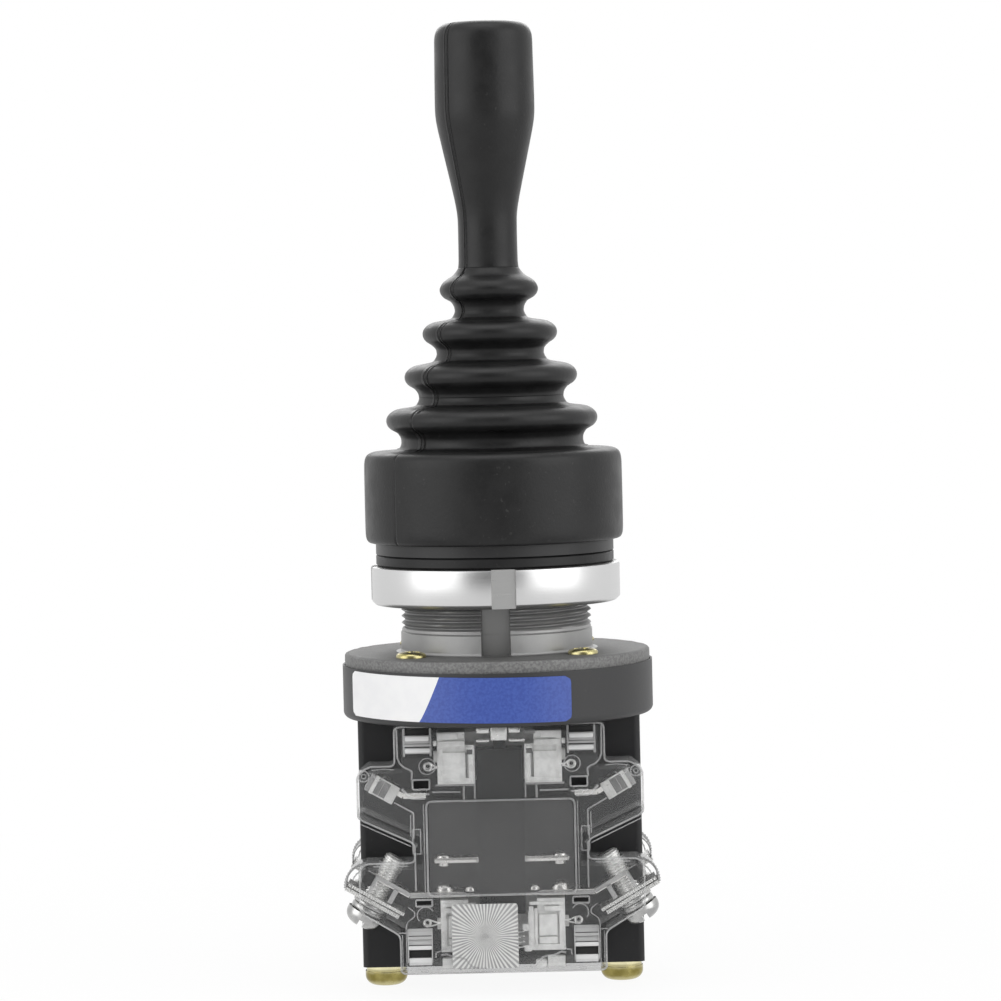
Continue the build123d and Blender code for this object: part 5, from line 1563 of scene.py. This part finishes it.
def ribbed_band(path, y_low, y_high, thick, ribs):
    """A thin band along a path, with small ribs on its outer side."""
    fine = smooth_line(path, ribs)
    points = []
    for i, (x, z) in enumerate(fine):
        a, b = fine[max(i - 1, 0)], fine[min(i + 1, len(fine) - 1)]
        d = Vector((b[0] - a[0], b[1] - a[1])).normalized()
        out = Vector((-d[1], d[0])) * -1
        t = thick * (1.0 + 0.5 * (i % 2))
        for px, pz in ((x, z), (x - out[0] * t, z - out[1] * t)):
            points += [(px, y_low, pz), (px, y_high, pz)]
    faces = []
    for i in range(len(fine) - 1):
        a, b = 4 * i, 4 * (i + 1)
        faces += [(a, a + 1, b + 1, b), (a + 2, b + 2, b + 3, a + 3)]
        faces += [(a, b, b + 2, a + 2), (a + 1, a + 3, b + 3, b + 1)]
    last = 4 * (len(fine) - 1)
    faces += [(0, 2, 3, 1), (last, last + 1, last + 3, last + 2)]
    return points, faces


guide = gather(
    ribbed_band(guide_path, -17.6, -17.1, 0.3, 4),
    ribbed_band(guide_path, -16.0, -11.0, 0.12, 3),
    ribbed_band([(x - 0.75, z - 0.5) for x, z in guide_path[1:]], -17.4, -17.0, 0.16, 3),
)
four_corners("wire_guide", guide, clear_rib_painted_dark, "clear_plastic")
well = moved(rounded_block((1.55, -4.2, -0.45), (3.1, -3.9, 1.5), 0.45), on_lower_wing)
four_corners("wire_well", well, slot_black, "black_moulding")
sleeves = moved(gather(
    rounded_block((-2.75, -3.3, 0.25), (-1.95, -2.9, 2.5), 0.12),
    rounded_block((0.95, -3.5, -0.3), (1.5, -3.1, 2.55), 0.12),
), on_lower_wing)
four_corners("clamp_sleeve", sleeves, latch_clear, "clear_plastic")

# Painted light and shade: the cage's silver strip takes a bright copy on its rims and a dark copy on its
# middle facets.
painted_lit_band, *_ = start_finish(
    "painted_lit_band", (0.78, 0.78, 0.77), (0.60, 0.60, 0.59), (0.25, 0.4),
    drift_scale=420, grain_scale=3000, bump=0.004, metallic=0.2)
painted_shade_band, *_ = start_finish(
    "cage_shade", (0.17, 0.17, 0.17), (0.30, 0.30, 0.30), (0.35, 0.5),
    drift_scale=420, grain_scale=3000, bump=0.004, metallic=0.3)
cage_rims = moved(gather(
    rounded_block((0.95, -3.35, -0.95), (2.45, -3.05, 1.95), 0.14),
    rounded_block((2.45, -3.2, -0.95), (4.5, -3.05, -0.7), 0.08),
    rounded_block((2.45, -3.2, 1.7), (4.5, -3.05, 1.95), 0.08),
    rounded_block((4.45, -3.45, -1.0), (5.05, -3.05, 2.0), 0.1),
), on_upper_wing)
cage_end = moved(rounded_block((5.1, -3.3, -0.9), (5.85, -3.05, 1.9), 0.1), on_upper_wing)
cage_middle = moved(gather(
    rounded_block((2.4, -3.12, -0.8), (3.5, -3.0, 1.8), 0.05),
    rounded_block((3.55, -3.16, -0.8), (4.5, -3.0, 1.8), 0.05),
), on_upper_wing)
four_corners("cage_rims", cage_rims, painted_lit_band, "silver_contact")
four_corners("cage_end", cage_end, latch_clear, "silver_contact")
four_corners("cage_middle", cage_middle, painted_shade_band, "silver_contact")
strip_edge = gather(
    rounded_block((5.6, -16.1, 14.85), (14.3, -15.85, 15.5), 0.1),
    moved(rounded_block((-4.5, -2.7, -0.4), (2.9, -2.45, 0.25), 0.1), on_lower_wing),
)
four_corners("strip_edge", strip_edge, latch_clear, "silver_contact")
print("cages made")

# %% [markdown]
# ## Contacts
# A bridge in the slider closes two silver rivets on each side. The rivets are turned domes, which
# throw the small hard highlights that show through the smoked panel. The ones on the bridge
# ride with the plunger, the ones on the strips stay with the base.

# %% Make the rivets
dome = [(1.5, 0.0), (1.5, 0.2), (1.44, 0.55), (1.26, 0.88), (0.92, 1.15), (0.48, 1.3), (0.05, 1.34)]
low_dome = [(0.95, 0.0), (0.95, 0.3), (0.85, 0.6), (0.6, 0.82), (0.3, 0.92), (0.04, 0.94)]
cap = [(1.15, 0.0), (1.15, 0.12), (1.05, 0.3), (0.75, 0.42), (0.35, 0.48), (0.04, 0.49)]
fixed_rivets = gather(moved(lathe_rod(dome, 32), lambda x, y, z: (x + 8.9, y - 14.1, z + 15.55)),
                      moved(lathe_rod(low_dome, 24), lambda x, y, z: (x + 4.9, y - 14.6, z + 15.55)))
bridge_heads = moved(lathe_rod(cap, 32), lambda x, y, z: (x + 8.9, y - 13.7, z + 20.8))
four_corners("fixed_rivet", fixed_rivets, contact_silver, "silver_contact")
bridge_edge = rounded_block((3.75, -15.32, 20.02), (10.4, -15.1, 20.75), 0.1)
bridge_pieces = gather(bridge_heads, bridge_edge)
four_corners("bridge_rivet_head", bridge_pieces, contact_silver, "silver_contact", body="plunger_SIDE")
print("rivets made")

# %% [markdown]
# ## Guides at the top of the slider
# Over the slider, small metal bars and a block keep it in line. They sit just behind the cover.

# %% Make the top guides
top_block = rounded_block((-1.3, -16.75, 39.0), (1.25, -16.3, 41.3), 0.15)
top_bars = gather(
    rounded_block((1.45, -16.7, 40.1), (3.3, -16.3, 41.1), 0.3),
    rounded_block((-3.5, -16.7, 40.1), (-1.5, -16.3, 41.1), 0.3),
    rounded_block((1.45, -16.75, 38.75), (4.0, -16.3, 39.35), 0.2),
    rounded_block((-3.6, -16.75, 38.75), (-1.5, -16.3, 39.35), 0.2),
)
hooks = gather(
    wire([(3.0, -16.6, 40.6), (3.3, -16.65, 40.9), (3.7, -16.65, 40.8), (3.8, -16.6, 40.4)], 0.12),
    rounded_block((3.9, -16.75, 40.0), (5.6, -16.4, 40.7), 0.2),
)
front_and_rear("top_block", top_block, nickel, "bright_steel")
front_and_rear("top_bars", top_bars, nickel, "bright_steel")
# The hooks take the same painted shade grey.
front_and_rear("top_hooks", hooks, painted_shade_band, "bright_steel")
print("top guides made")

# %% [markdown]
# ## The foil sticker
# A square of foil with rays is stuck on the front cover. Its rays come from the surface, not from
# the mesh: the angle round the sticker's centre feeds a wave that lightens and darkens the foil
# and tilts its normal.

# %% Make the foil sticker
ray_centre_x, ray_centre_z, ray_count = -2.75, 8.95, 56
foil, tree, shader, grain, relief, place = start_finish(
    "ray_foil", (0.30, 0.30, 0.30), (0.40, 0.40, 0.40), (0.3, 0.45),
    drift_scale=300, grain_scale=2500, bump=0.004, metallic=0.25)
axes = axes_of(tree, place)
ray_x = maths(tree, "SUBTRACT", axes["X"], ray_centre_x * MM)
ray_z = maths(tree, "SUBTRACT", axes["Z"], ray_centre_z * MM)
ray_angle = maths(tree, "ARCTAN2", ray_z, ray_x)
ray_wave = maths(tree, "SINE", maths(tree, "MULTIPLY", ray_angle, ray_count))
uneven = maths(tree, "SUBTRACT", speckle(tree, place, 900.0, 2.0), 0.5)
ray_mask = ramp(tree, maths(tree, "ADD", ray_wave, maths(tree, "MULTIPLY", uneven, 1.2)), -0.35, 0.45)
bright_foil = plain_colour(tree, (0.70, 0.70, 0.69))
join(tree, between(tree, ray_mask, grain.outputs["Colour"], bright_foil), shader.inputs["Base Color"])
ray_relief = tree.nodes.new("ShaderNodeBump")
ray_relief.inputs["Distance"].default_value = 0.02 * MM
join(tree, ray_mask, ray_relief.inputs["Height"])
join(tree, relief.outputs[0], ray_relief.inputs["Normal"])
join(tree, ray_relief.outputs[0], shader.inputs["Normal"])

sticker_path = rounded_path(rectangle(-7.9, 3.95, 2.3, 13.95), 0.5, 5)
foil_back, foil_front = -18.005, -18.06
n = len(sticker_path)
sticker_points = [(x, y, z) for y in (foil_back, foil_front) for x, z in sticker_path]
sticker_faces = [tuple(range(n)), tuple(range(n, 2 * n))]
sticker_faces += [(k, (k + 1) % n, n + (k + 1) % n, n + k) for k in range(n)]
sticker = make_piece(
    "foil_sticker", sticker_points, sticker_faces, foil, "base", "bright_steel", smooth=False)
print("sticker faces:", len(sticker.data.polygons))

# %% [markdown]
# ## Small things low in the cover
# Beside the sticker, a few arcs of a small coil, two white blocks and the cover's curved rib
# show.

# %% Make the low rib and the bottom edge
low_rib = gather(
    bead([(9.6, 6.15), (8.9, 6.3), (8.2, 6.0), (7.6, 5.75), (6.6, 5.7), (5.9, 5.45), (5.3, 4.7),
          (4.8, 4.2), (3.9, 4.05)], width=0.3, height=0.14),
    bead([(9.4, 7.1), (9.75, 6.7), (10.4, 6.6), (10.5, 5.8)], width=0.2, height=0.1),
    bead([(2.6, 4.0), (10.2, 4.0), (15.2, 4.05)], width=0.2, height=0.1),
    bead([(11.6, 3.75), (12.8, 3.75)], width=0.5, height=0.1),
)
four_corners("low_rib", low_rib, clear_edge, "clear_plastic")
small_coil = []
for level in (6.9, 7.7, 8.5, 9.3):
    arc = []
    for a in (-1.4, -0.7, 0, 0.7, 1.4):
        arc.append((2.5 + 0.75 * math.sin(a), -16.75 + 0.35 * math.cos(a), level + 0.35 * a / math.pi))
    small_coil.append(wire(arc, 0.16))
white_blocks = gather(
    rounded_block((2.9, -16.7, 9.35), (3.9, -16.3, 10.5), 0.25),
    rounded_block((3.2, -16.7, 6.2), (4.4, -16.3, 7.2), 0.3),
)
front_and_rear("side_coil", gather(*small_coil), nickel, "spring_steel")
front_and_rear("lead_end", white_blocks, white_moulding, "white_moulding")

# %% [markdown]
# ## The floor
# A plain pale floor lies under the joystick and keeps its soft shadow. What the camera sees of
# it goes over into the white of the background a little way from the foot.

# %% Lay the floor
floor_mesh = bpy.data.meshes.new("studio_floor")
floor_half, floor_level = 3, -0.0005
signs = ((-1, -1), (1, -1), (1, 1), (-1, 1))
floor_corners = [(floor_half * x, floor_half * y, floor_level) for x, y in signs]
floor_mesh.from_pydata(floor_corners, [], [(0, 1, 2, 3)])
floor = bpy.data.objects.new("studio_floor", floor_mesh)
bpy.context.scene.collection.objects.link(floor)
floor_finish = bpy.data.materials.new("studio_floor")
floor_finish.use_nodes = True
floor_tree = floor_finish.node_tree
floor_shader = floor_tree.nodes["Principled BSDF"]
floor_shader.inputs["Base Color"].default_value = (0.9, 0.9, 0.9, 1)
floor_shader.inputs["Roughness"].default_value = 0.8
spot = floor_tree.nodes.new("ShaderNodeTexCoord").outputs["Object"]
away = floor_tree.nodes.new("ShaderNodeVectorMath")
away.operation = "LENGTH"
join(floor_tree, spot, away.inputs[0])
glow = floor_tree.nodes.new("ShaderNodeMapRange")
glow.interpolation_type = "SMOOTHSTEP"
glow.inputs["From Min"].default_value = 0.03
glow.inputs["From Max"].default_value = 0.22
glow.inputs["To Min"].default_value = 0.93
glow.inputs["To Max"].default_value = 1.0
join(floor_tree, away.outputs["Value"], glow.inputs["Value"])
floor_ray = floor_tree.nodes.new("ShaderNodeLightPath").outputs
floor_seen = maths(floor_tree, "MAXIMUM", floor_ray["Is Camera Ray"], floor_ray["Is Glossy Ray"])
floor_seen = maths(floor_tree, "MAXIMUM", floor_seen, floor_ray["Is Transmission Ray"])
paper_white = floor_tree.nodes.new("ShaderNodeEmission")
paper_white.inputs["Color"].default_value = (1, 1, 1, 1)
paper_white.inputs["Strength"].default_value = 1.0
floor_mix = floor_tree.nodes.new("ShaderNodeMixShader")
paper_share = maths(floor_tree, "MULTIPLY", glow.outputs["Result"], floor_seen)
join(floor_tree, paper_share, floor_mix.inputs["Fac"])
join(floor_tree, floor_shader.outputs[0], floor_mix.inputs[1])
join(floor_tree, paper_white.outputs[0], floor_mix.inputs[2])
join(floor_tree, floor_mix.outputs[0], floor_tree.nodes["Material Output"].inputs["Surface"])
floor_mesh.materials.append(floor_finish)
print("floor laid, metres across:", 2 * floor_half)
